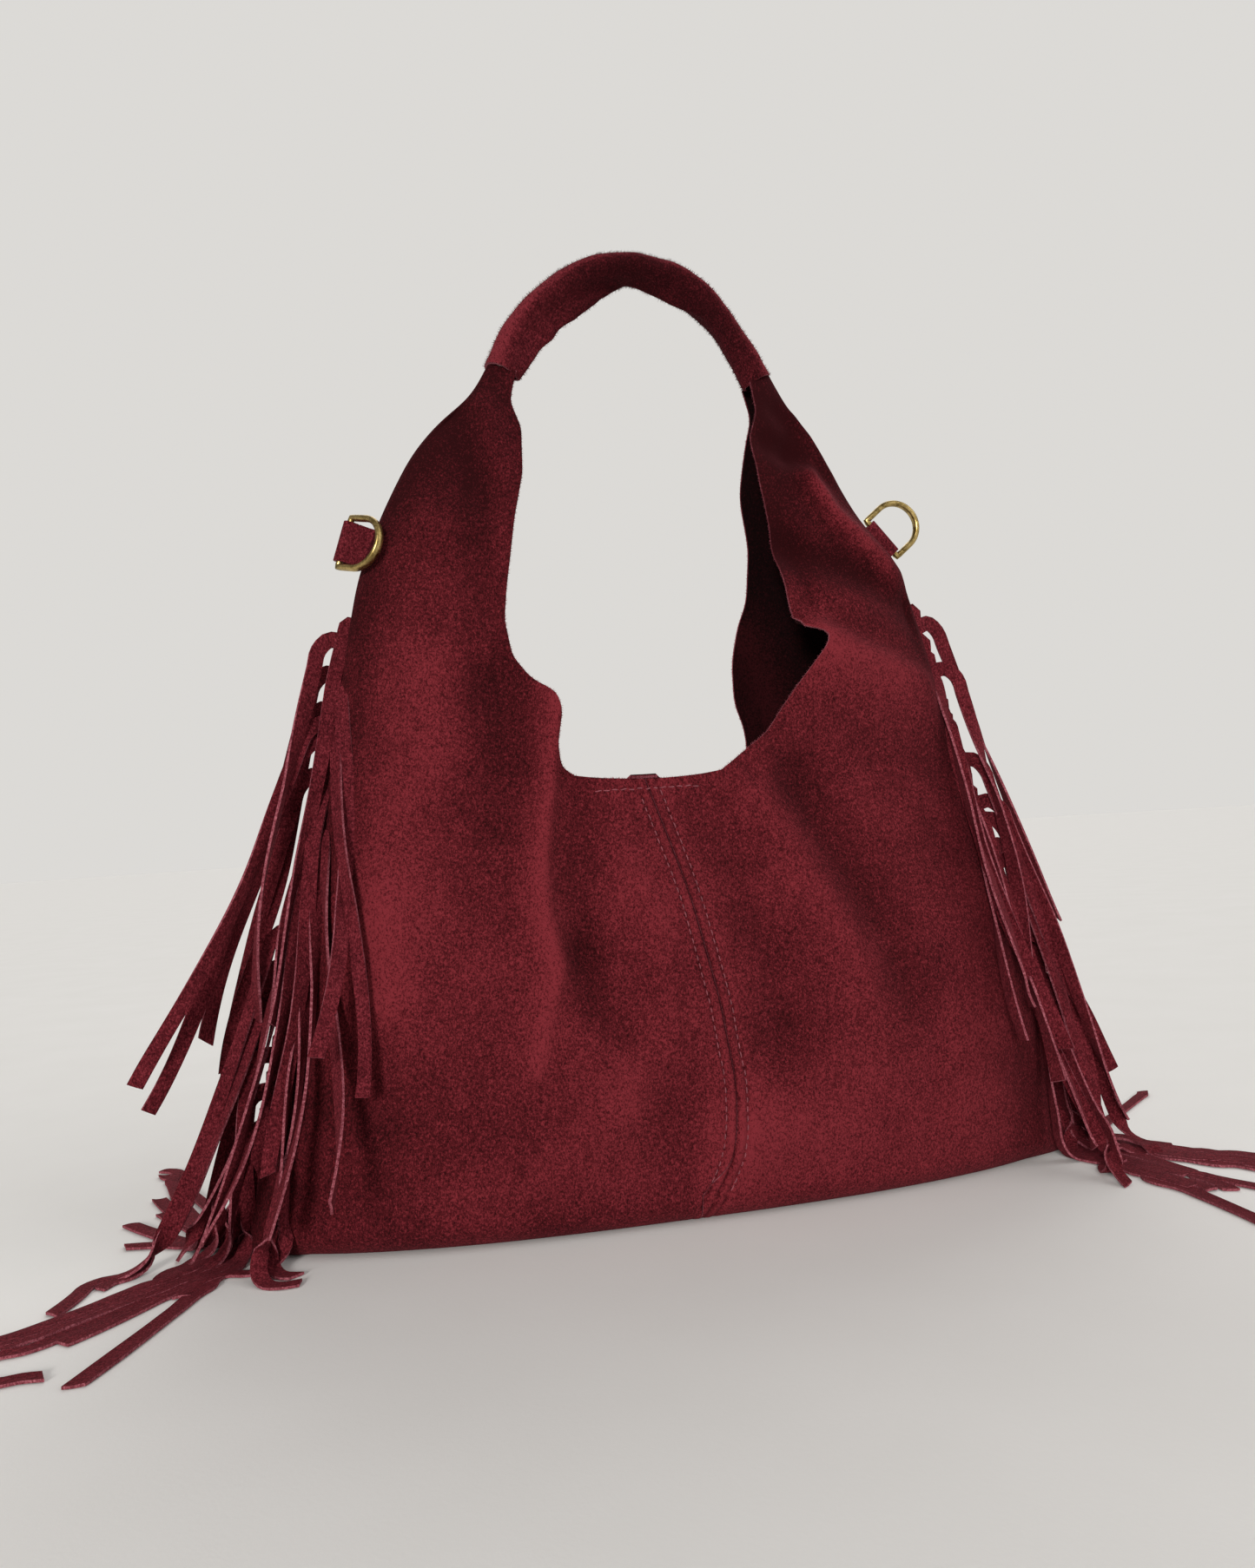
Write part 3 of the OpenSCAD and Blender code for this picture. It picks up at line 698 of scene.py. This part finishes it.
core_section = handle_section(SUEDE + 0.5, False, 36)
around = np.linspace(0, 2 * math.pi, 36, endpoint=False)[None, :]
lay = 0.94 - 0.05 * np.abs(np.sin(1.5 * around + HANDLE_S[:, None] * 40))
core_points = ring_points(core_section * lay[..., None])[4:-4]
core_faces = [face[::-1] for face in rod_faces(*core_points.shape[:2])]
core = make_mesh("cotton_rope_core", core_points.reshape(-1, 3), core_faces, [COTTON])
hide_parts("handle_core")
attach(core, "handle")

# ---- thread and loose fibres

STITCH = 3.4
STITCH_GAP = 0.8
THREAD_R = 0.3


def stitches(name, line, face):
    """A row of stitches: short bars of thread along a line, each dipping into the suede at its ends."""
    p = np.asarray(line, float)
    run = run_along(p)
    arch = np.array([-0.45, 0.1, 0.28, 0.1, -0.45])[:, None]
    fat = np.array([0.45, 0.95, 1.0, 0.95, 0.45])[:, None] * THREAD_R
    turn = np.arange(6) * math.pi / 3
    height = (arch + fat * np.sin(turn) * 0.8)[..., None]
    wide = (fat * np.cos(turn))[..., None]
    lift = np.array([0.0, -face, 0.0])
    points, faces = [], []
    r = np.random.default_rng(5)
    at = 0.8
    while at + STITCH < run[-1]:
        t = np.linspace(at, at + STITCH * r.uniform(0.88, 1.06), len(arch))
        path = np.stack([np.interp(t, run, p[:, k]) for k in range(3)], 1)
        way = unit(path[-1] - path[0])
        up = unit(lift - way * np.dot(way, lift))
        across = np.cross(way, up)
        path = path + across * r.uniform(-0.15, 0.15)
        faces += rod_faces(len(arch), len(turn), len(points) * arch.size * turn.size)
        points.append(path[:, None] + up * height + across * wide)
        at += STITCH + STITCH_GAP
    piece = make_mesh(name, np.concatenate(points).reshape(-1, 3), faces, [THREAD])
    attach(piece, "bag")


def seam_row(centre, face, offset, top):
    """A line beside the centre seam, from just over the base up to top."""
    line = dense(keyed(centre), 6, 2.0)
    line = line[(line[:, 2] > 15) & (line[:, 2] < top), 1:]
    way = unit(np.gradient(line, axis=0))
    side = np.stack([way[:, 1], -way[:, 0]], 1) * offset
    return [on_face(x, z, face, 0.15) for x, z in line + side]


for word, centre, face in FACES:
    for half, offset in zip(SIDES, (-STITCHES_OFF, STITCHES_OFF)):
        row = seam_row(centre, face, offset, 206 if face > 0 else 201)
        stitches(f"{word}_seam_stitches_{half}", row, face)
front_row = [on_face(x, 204.3 + 0.3 * math.sin(x), 1, 0.15) for x in range(-40, 17, 2)]
stitches("front_facing_stitches", front_row, 1)
stitches("back_facing_stitches", [on_face(x, 200.5, -1, 0.15) for x in range(-34, 21, 2)], -1)


def fibres(name, roots, outward, count, length, seed, material):
    """Loose fibres of the nap standing off a surface: thin spikes with random leans."""
    r = np.random.default_rng(seed)
    pick = r.integers(0, len(roots), count)
    at = roots[pick] + r.normal(0, 0.35, (count, 3)) * (1 - np.abs(outward[pick]))
    lean = unit(outward[pick] + r.normal(0, 0.45, (count, 3)))
    side = unit(np.cross(lean, r.normal(0, 1, (count, 3))))
    other = np.cross(lean, side)
    thin = 0.10
    tip = at + lean * (length * r.uniform(0.35, 1.0, count))[:, None]
    at = at - lean * 0.25
    spread = [side * thin, -side * thin * 0.5 + other * thin * 0.87, -side * thin * 0.5 - other * thin * 0.87]
    corners = [at + way for way in spread] + [tip]
    base = np.arange(count)[:, None] * 4
    faces = np.concatenate([base + f for f in ([0, 2, 1], [0, 1, 3], [1, 2, 3], [2, 0, 3])])
    piece = make_mesh(name, np.stack(corners, 1).reshape(-1, 3), faces, [material])
    return piece


sleeve_out = unit(sleeve_points - handle_path[:, None, :])
roots, outward = sleeve_points.reshape(-1, 3), sleeve_out.reshape(-1, 3)
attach(fibres("handle_nap_fibres", roots, outward, 11000, 1.9, 61, HANDLE_NAP), "handle")
rim, rim_out = [], []
for name, grid in surfaces.items():
    last_column = ("left" in name) == ("front" in name)
    edge = grid[BASE_ROWS:, -1 if last_column else 0]
    edge = edge[edge[:, 2] > 203]
    places = np.linspace(0, len(edge) - 1, 900)
    line = np.stack([np.interp(places, np.arange(len(edge)), column) for column in edge.T], 1)
    way = unit(np.gradient(line, axis=0))
    away = np.stack([-way[:, 2], 0 * way[:, 0], way[:, 0]], 1)
    rim.append(line + [0, 0.8 if "front" in name else -0.8, 0])
    rim_out.append(away * np.sign((away * ([-2, 0, 300] - line)).sum(1, keepdims=True)))
rim, rim_out = np.concatenate(rim), np.concatenate(rim_out)
edge_fibres = fibres("opening_edge_fibres", rim, rim_out, 3600, 1.3, 62, CUT)
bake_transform(edge_fibres)

# ---- inner strips, facings, tabs and rings


def inner_strip(name, node, grid, inward, face):
    """A strip of suede sewn inside the front (1) or back (-1), drawn as it lies inside the front."""
    if face < 0:
        grid, inward = (grid * FLIP)[:, ::-1], (inward * FLIP)[:, ::-1]
    piece = shell(name, grid, grid + inward * 1.2, [STRAND, FLESH_PAINTED_SHADE, CUT])
    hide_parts(node)
    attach(piece, "bag")


def seam_strip(name, node, centre, face):
    """The strip behind a centre seam; its end is folded out over the mouth."""
    line = dense(keyed(centre), 6, 3.0)
    across = np.linspace(-9, 9, 13)
    rows = []
    for _, x, z in line[line[:, 2] > 14]:
        y = -depth(1.0, z) + SUEDE + 1.9 + 0.25 * np.cos(across / 9 * math.pi)
        rows.append(np.stack([x + across, y, np.full(13, z)], -1))
    top = rows[-1]
    middle = top[:, 0].mean()
    for lift, turn_out in ((0.7, 0.0), (1.5, -0.5), (1.9, -1.5), (1.4, -2.3)):
        row = top + [0, turn_out, lift]
        row[:, 0] = middle + (top[:, 0] - middle) * (1 - 0.2 * lift)
        rows.append(row)
    grid = np.array(rows)
    inward = grid_normals(grid)
    inward = np.where(inward[..., 1:2] < 0, -inward, inward)
    inner_strip(name, node, grid, inward, face)


def facing(name, node, centre, face):
    """The piece behind the snap, level with the face it is sewn to."""
    x0 = centre[4][0] + (centre[5][0] - centre[4][0]) * 0.72
    z0, rise = 194.0, 12.0
    low, level, high = (
        SEAM_GAP + SUEDE + HALF_DEPTH * np.interp(z, FULLNESS[:, 0], FULLNESS[:, 1])
        for z in (z0 - rise, z0, z0 + rise)
    )
    lean = math.atan((low - high) / (2 * rise))
    a, b = np.meshgrid(np.linspace(-29, 29, 40), np.linspace(-12.8, 12.8, 20))
    corner = np.clip((np.abs(b) - 8.8) / 4, 0, 1)
    a = a * (1 - corner ** 2 * 0.1)
    bow = 0.25 * np.sin(a / 6 + b / 9)
    y = SUEDE + 3.6 - level + b * math.sin(lean) + bow
    grid = np.stack([x0 + a, y, z0 + b * math.cos(lean)], -1)
    inward = np.tile(np.array([0, math.cos(lean), -math.sin(lean)]), (*a.shape, 1))
    inner_strip(name, node, grid, inward, face)


for word, centre, face in FACES:
    seam_strip(f"{word}_seam_backing", f"{word}_seam_strip", centre, face)
for word, centre, face in FACES:
    facing(f"{word}_facing_suede", f"{word}_facing", centre, face)

WIRE_R = 1.6
RING_INSIDE = 22.0
RING_LONG = 26.0
LEFT_BAR, RIGHT_BAR = (-149.0, 333.0), (132.0, 332.0)
LEFT_TILT, RIGHT_TILT = math.radians(18), math.radians(-40)


def at_bar(points, bar, tilt, side, turn=0.0):
    """Places points drawn with the bar along Z and the outward side along -X, as in the CAD."""
    p = np.asarray(points, float).copy()
    c, s = math.cos(turn), math.sin(turn)
    p = np.stack([p[..., 0] * c - p[..., 1] * s, p[..., 0] * s + p[..., 1] * c, p[..., 2]], -1)
    if side > 0:
        p[..., 0] *= -1
    c, s = math.cos(tilt), math.sin(tilt)
    x, y, z = p[..., 0], p[..., 1], p[..., 2]
    return np.stack([x * c + z * s + bar[0], y, -x * s + z * c + bar[1]], -1)


def ring_tab(name, node, bar, tilt, side):
    """A strip folded round the bar, its two legs pressed together where they go into the seam."""
    half = 0.62
    r = WIRE_R + 1.0
    angles = np.linspace(math.radians(100), math.radians(260), 17)
    loop = [(r * math.cos(a), r * math.sin(a)) for a in angles]
    upper = [(19, 0.75), (14, 0.78), (10, 0.85), (7, 1.15), (4, 1.75), (1.6, 2.35)]
    lower = [(x, -y) for x, y in upper[::-1]]
    line = dense(keyed(upper + loop + lower), 0.5, 0.4)[:, 1:]
    way = unit(np.gradient(line, axis=0))
    out = np.stack([way[:, 1], -way[:, 0]], 1)
    ragged = 1 + np.random.default_rng(8).normal(0, 0.06, len(line)) * 0.1
    width = np.linspace(10, -10, 15) * ragged[:, None]
    outer, inner = (
        at_bar(np.dstack([*((line + out * off).T[..., None] + 0 * width), width]), bar, tilt, side)
        for off in (half, -half)
    )
    if side > 0:
        outer, inner = outer[:, ::-1], inner[:, ::-1]
    # the tab takes the lighter fringe suede: painted light that makes up for the shade on it
    piece = shell(name, outer, inner, [STRAND, FLESH_PAINTED_SHADE, CUT])
    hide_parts(node)
    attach(piece, "bag")


ring_tab("left_ring_loop", "left_ring_tab", LEFT_BAR, LEFT_TILT, -1)
ring_tab("right_ring_loop", "right_ring_tab", RIGHT_BAR, RIGHT_TILT, 1)


def d_ring(name, node, bar, tilt, side, turn, body):
    """A D-ring bent from brass wire: a round bar, then a wider flattened wire for the legs and bow."""
    r = RING_INSIDE / 2 + WIRE_R
    leg = RING_LONG - WIRE_R - RING_INSIDE / 2 - 2 * WIRE_R
    bar_z = np.linspace(-r, r, 25)[1:-1]
    bend = np.linspace(0, 1, 7)
    bow = np.linspace(0, math.pi, 49)[1:-1]
    path = np.concatenate([
        np.stack([0 * bar_z, bar_z], 1),
        np.stack([-leg * bend, r + 0 * bend], 1),
        np.stack([-leg - r * np.sin(bow), r * np.cos(bow)], 1),
        np.stack([-leg * bend[::-1], -r + 0 * bend], 1),
    ])
    flat = np.minimum(1, bend * 2)
    kind = np.concatenate([0 * bar_z, flat, 1 + 0 * bow, flat[::-1]])
    line = np.stack([path[:, 0], np.zeros(len(path)), path[:, 1]], 1)
    along = unit(np.roll(line, -1, 0) - np.roll(line, 1, 0))
    out = unit(np.cross(along, [0, 1, 0]))
    a = np.linspace(0, 2 * math.pi, 20, endpoint=False)
    wide = WIRE_R + 0.7 * kind[:, None]
    section = np.stack([
        WIRE_R * np.cos(a) + 0 * wide,
        np.sign(np.sin(a)) * np.abs(np.sin(a)) ** 0.85 * wide,
    ], -1)
    outward = out[:, None, :] * section[..., :1]
    points = line[:, None, :] + outward + np.array([0, 1, 0]) * section[..., 1:]
    points = at_bar(points, bar, tilt, side, turn)
    n, m = section.shape[:2]
    index = np.arange(n * m).reshape(n, m)
    onward = np.roll(index, -1, 1)
    faces = np.stack([index, onward, np.roll(onward, -1, 0), np.roll(index, -1, 0)], -1).reshape(-1, 4)
    if side > 0:
        faces = faces[:, ::-1]
    piece = make_mesh(name, points.reshape(-1, 3), faces, [BRASS])
    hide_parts(node)
    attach(piece, body)


d_ring("left_d_ring_wire", "left_ring", LEFT_BAR, LEFT_TILT, -1, math.radians(135), "left_d_ring")
d_ring("right_d_ring_wire", "right_ring", RIGHT_BAR, RIGHT_TILT, 1, 0.0, "right_d_ring")

for node in ("snap_socket", "snap_stud", "socket_washer", "stud_washer"):
    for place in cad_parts[node].material_slots:
        place.material = STEEL

# ---- fringe

STRANDS, POINTS, LONG = 36, 26, 190.0
STEP = LONG / (POINTS - 1)
FIRST_FREE = 24
APART = 4.6
GROUND = 1.0
SPREAD_X, SPREAD_Y = 88.0, 144.0
OWNER = np.arange(STRANDS).repeat(POINTS)
OTHERS = OWNER[:, None] != OWNER[None, :]


def first_lay(side, r):
    """How the strands start: out of the seam, down, then along the ground. Returns their points, the ways
    they leave the seam, and the set that the cut strands keep: they wave instead of hanging straight."""
    z0 = np.linspace(8, 292, STRANDS)
    x0 = seam_x(side, z0) + side * 1.2
    lean = np.arctan2(np.gradient(np.abs(x0)), np.gradient(z0))
    out = np.stack([side * np.cos(lean), np.zeros(STRANDS), -np.sin(lean)], 1)
    root = np.stack([x0, np.zeros(STRANDS), z0], 1)
    front = np.where(r.random(STRANDS) < 0.66, -1, 1)
    stray = np.where(r.random(STRANDS) < 0.2, r.uniform(0.25, 0.5, STRANDS), r.uniform(0.0, 0.12, STRANDS))
    close = r.random(STRANDS) < 0.45
    reach = np.where(close, r.uniform(3, 8, STRANDS), r.uniform(10, 24, STRANDS))
    flare = np.where(close, 0.02, 0.22)
    # the lowest strands have the most on the ground, and lie where there is room for them
    lying = np.maximum(LONG - 14 - z0, 1)
    least = np.arccos(np.clip(SPREAD_X / lying, 0, 1))
    most = np.where(lying > SPREAD_Y, np.arcsin(np.clip(SPREAD_Y / lying, 0, 1)), 1.7)
    head = np.clip(np.radians(r.uniform(20, 100, STRANDS)), least, most) * front
    curl = r.uniform(-0.5, 0.5, STRANDS)
    kick = r.uniform(0, 6.28, (STRANDS, 4))
    P = np.zeros((STRANDS, POINTS, 3))
    for k in range(STRANDS):
        at = root[k].copy()
        P[k, 0] = at
        landed = None
        for i in range(1, POINTS):
            s = i * STEP
            if s < reach[k]:
                way = out[k] + np.array([0, 0.30 * front[k], 0.15 - 0.9 * (s / reach[k]) ** 2])
            elif at[2] > 3.0:
                way = np.array([side * (flare[k] + stray[k]), 0.10 * front[k], -1.0])
            else:
                landed = s if landed is None else landed
                turn = head[k] + curl[k] * (s - landed) / 110
                way = np.array([side * math.cos(turn), math.sin(turn), 0.0])
            at = at + unit(way) * STEP
            at[2] = max(at[2], GROUND)
            P[k, i] = at
    along = np.linspace(0, 1, POINTS)[None, :]
    outward = side * (0.11 * flare[:, None] + 0.055 * stray[:, None] * along)
    sideways = outward + 0.030 * np.sin(along * 7.5 + kick[:, :1]) * along
    forward = 0.034 * np.sin(along * 6.5 + kick[:, 1:2]) * along + 0.012 * front[:, None]
    return P, out, np.stack([sideways, forward, np.zeros((STRANDS, POINTS))], -1)


def push_apart(P):
    """The points with those of other strands kept off each other."""
    Q = P.reshape(-1, 3)
    gap = Q[:, None, :] - Q[None, :, :]
    far = np.sqrt((gap ** 2).sum(-1)) + 1e-6
    push = np.where((far < APART) & OTHERS, (APART - far) / far * 0.3, 0)
    return (Q + (gap * push[..., None]).sum(1)).reshape(P.shape)


def hold_length(P):
    """Brings the links back to their length, and opens sharp folds."""
    for odd in (0, 1):
        a, b = P[:, odd:-1:2], P[:, odd + 1::2]
        m = min(a.shape[1], b.shape[1])
        d = b[:, :m] - a[:, :m]
        size = np.linalg.norm(d, axis=-1, keepdims=True) + 1e-9
        fix = d * (1 - STEP / size) * 0.5
        P[:, odd:odd + 2 * m:2] += fix
        P[:, odd + 1:odd + 1 + 2 * m:2] -= fix
    d = P[:, 2:] - P[:, :-2]
    size = np.linalg.norm(d, axis=-1, keepdims=True) + 1e-9
    short = np.maximum(0, 1.93 * STEP - size) / size * 0.25
    P[:, 2:] += d * short
    P[:, :-2] -= d * short


def keep_off(P, before, side):
    """Keeps points off the bag, by the nearer of sideways and forward, and on the ground within bounds."""
    inside = np.abs(seam_x(side, np.clip(P[..., 2], 2, 400))) - side * P[..., 0]
    thick = depth(np.clip(inside / 205.0, 0, 1), np.clip(P[..., 2], 0, 400))
    thick = thick + 3.2 + 4 * np.clip(inside / 25, 0, 1)
    over = thick - np.abs(P[..., 1])
    hit = (inside > 0) & (over > 0)
    sideways = hit & (inside < over)
    P[..., 0] += np.where(sideways, side * inside, 0) * 0.8
    P[..., 1] += np.where(hit & ~sideways, np.where(P[..., 1] <= 0, -1, 1) * over, 0) * 0.8
    low = P[..., 2] < GROUND
    P[..., 2] = np.maximum(P[..., 2], GROUND)
    P[..., :2] = np.where(low[..., None], before[..., :2] * 0.8 + P[..., :2] * 0.2, P[..., :2])
    limit = 318.0 if side > 0 else 312.0
    P[..., 0] = np.clip(P[..., 0], -limit, limit)
    P[..., 1] = np.clip(P[..., 1], -172, 168)


def drape(side, seed):
    """Lets a side's strands fall, their roots held in the seam. Returns the settled points
    [strand, point, 3] in millimetres and the ways they leave the seam."""
    P, out, wave = first_lay(side, np.random.default_rng(seed))
    still = P[:, :2].copy()
    before = P.copy()
    for _ in range(200):
        move = (P - before) * 0.86
        before = P.copy()
        P = P + move + np.array([0, 0, -0.10]) + wave * (P[..., 2:] > 4)
        P = push_apart(P)
        for _ in range(14):
            P[:, :2] = still
            hold_length(P)
        keep_off(P, before, side)
        P[:, :2] = still
    return P, out


def curve_points(p, count):
    """A smooth line through a strand's points."""
    n = len(p)
    t = np.linspace(0, n - 1.000001, count)
    k = t.astype(int)
    f = (t - k)[:, None]
    a, b, c, d = p[np.maximum(k - 1, 0)], p[k], p[np.minimum(k + 1, n - 1)], p[np.minimum(k + 2, n - 1)]
    line = 2 * b + (c - a) * f + (2 * a - 5 * b + 4 * c - d) * f ** 2 + (3 * b - a - 3 * c + d) * f ** 3
    return line / 2


def ribbon(path, side, r):
    """One strand as a flat strip of suede with cut edges: its faces and which of them are cut edges."""
    n = len(path)
    s = np.linspace(0, 1, n)
    along = unit(np.gradient(path, axis=0))
    hang = np.clip((path[:, 2] - 3) / 22, 0, 1)
    hang = hang * hang * (3 - 2 * hang)
    turn = r.uniform(-2.0, 2.0) * np.clip(s / 0.45, 0, 1) ** 1.3
    turn = turn + 0.5 * np.sin(s * r.uniform(3, 9) + r.uniform(0, 6)) * np.clip(s / 0.15, 0, 1)
    face = np.stack([np.sin(turn) * side, np.cos(turn), 0 * s], 1)
    face = unit(face * hang[:, None] + np.array([0, 0, 1.0]) * (1 - hang)[:, None])
    if (face[-1] * face[-2]).sum() < 0:
        face[-1] = face[-2]
    face = unit(face - along * (face * along).sum(1, keepdims=True))
    for _ in range(3):
        mid = face.copy()
        mid[1:-1] = face[:-2] + 2 * face[1:-1] + face[2:]
        face = unit(mid - along * (mid * along).sum(1, keepdims=True))
    wide = np.cross(along, face)
    half = 3.8 * r.uniform(0.86, 1.07) * (1 - 0.08 * s + 0.05 * np.sin(s * 17 + r.uniform(0, 6)))
    half = half + (4.25 - half) * np.exp(-((s / 0.07) ** 2))
    cup = r.uniform(-0.5, 0.5)
    slant = r.uniform(-2.2, 2.2)
    across = np.array([-1, -0.5, 0, 0.5, 1])
    halves = []
    for up, row in ((0.6, across), (-0.6, across[::-1])):
        lift = up + cup * (1 - row * row)
        part = path[:, None] + wide[:, None] * (half[:, None] * row)[..., None]
        part = part + face[:, None] * lift[:, None]
        part[-1] += along[-1] * (slant * row)[:, None]
        halves.append(part)
    points = np.concatenate(halves, 1)
    points[..., 2] = np.maximum(points[..., 2], 0.15)
    return points.reshape(-1, 3), rod_faces(n, 10), [0, 0, 0, 0, 1] * (2 * n - 2) + [1, 1]


def fringe(side):
    word = "left" if side < 0 else "right"
    P, out = drape(side, 21 if side < 0 else 22)
    r = np.random.default_rng(31 if side < 0 else 33)
    groups = {"upper": range(FIRST_FREE, STRANDS), "lower": range(FIRST_FREE)}
    for group, members in groups.items():
        points, faces, kinds = [], [], []
        base = 0
        for k in members:
            first = P[k, 0] - out[k] * 3.0
            path = curve_points(np.concatenate([[first], P[k]]), 72)
            p, f, m = ribbon(path, side, r)
            points.append(p)
            faces += [[v + base for v in face] for face in f]
            kinds += m
            base += len(p)
        piece = make_mesh(f"{word}_{group}_fringe", np.concatenate(points), faces, [STRAND, CUT], kinds, 40)
        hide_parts(f"{word}_{group}_strands")
        if group == "upper":
            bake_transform(piece)
        else:
            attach(piece, "bag")
    z = np.linspace(4, 296, 120)
    x = seam_x(side, z)
    across = np.array([-9.0, -6, -3, 0, 2.0]) * side
    if side < 0:
        across = across[::-1]
    grid = np.stack([np.stack([x + a, -0.6 + 0.0 * z, z], -1) for a in across], 1)
    piece = shell(f"{word}_fringe_band", grid, grid + [0, 1.2, 0], [STRAND, STRAND, CUT])
    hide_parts(f"{word}_fringe_header")
    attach(piece, "bag")


fringe(-1)
fringe(1)

# ---- floor, light and world


def floor():
    n = Nodes("pale_floor")
    spread = n.noise(14, 3.0, 0.5)
    n.link(n.mix(spread, (0.80, 0.785, 0.755), (0.84, 0.825, 0.80)), n.shader.inputs["Base Color"])
    n.link(n.bump(n.noise(420, 3.0, 0.6), 0.12, 0.0006), n.shader.inputs["Normal"])
    n.finish(Roughness=0.95, Specular_IOR_Level=0.1)
    turns = np.arange(48) * (2 * math.pi / 48)
    ring = 14.0 * np.stack([np.cos(turns), np.sin(turns), 0 * turns], 1)
    mesh = bpy.data.meshes.new("floor")
    mesh.from_pydata([(0, 0, 0), *ring.tolist()], [], [(0, k + 1, (k + 1) % 48 + 1) for k in range(48)])
    mesh.materials.append(n.material)
    piece = bpy.data.objects.new("floor", mesh)
    bpy.context.collection.objects.link(piece)


def sun(name, toward, strength, spread, colour):
    data = bpy.data.lights.new(name, "SUN")
    data.energy = strength
    data.angle = math.radians(spread)
    data.color = colour
    light = bpy.data.objects.new(name, data)
    bpy.context.collection.objects.link(light)
    light.rotation_euler = Vector(toward).to_track_quat("Z", "Y").to_euler()


floor()
sun("key", (-0.40, -0.84, 0.24), 2.5, 14, (1.0, 0.985, 0.965))
sun("fill", (0.80, -0.60, 0.55), 0.8, 55, (0.98, 0.99, 1.0))
sun("rear", (0.25, 0.80, 0.62), 1.2, 60, (1.0, 0.99, 0.98))

world = bpy.data.worlds.new("studio")
world.use_nodes = True
nodes, links = world.node_tree.nodes, world.node_tree.links
seen = nodes.new("ShaderNodeLightPath")
blend = nodes.new("ShaderNodeMix")
blend.data_type = "RGBA"
blend.inputs[6].default_value = (0.33, 0.325, 0.32, 1)
blend.inputs[7].default_value = (0.715, 0.70, 0.675, 1)
links.new(seen.outputs["Is Camera Ray"], blend.inputs[0])
links.new(blend.outputs[2], nodes["Background"].inputs["Color"])
bpy.context.scene.world = world
bpy.context.scene.view_settings.view_transform = "Standard"
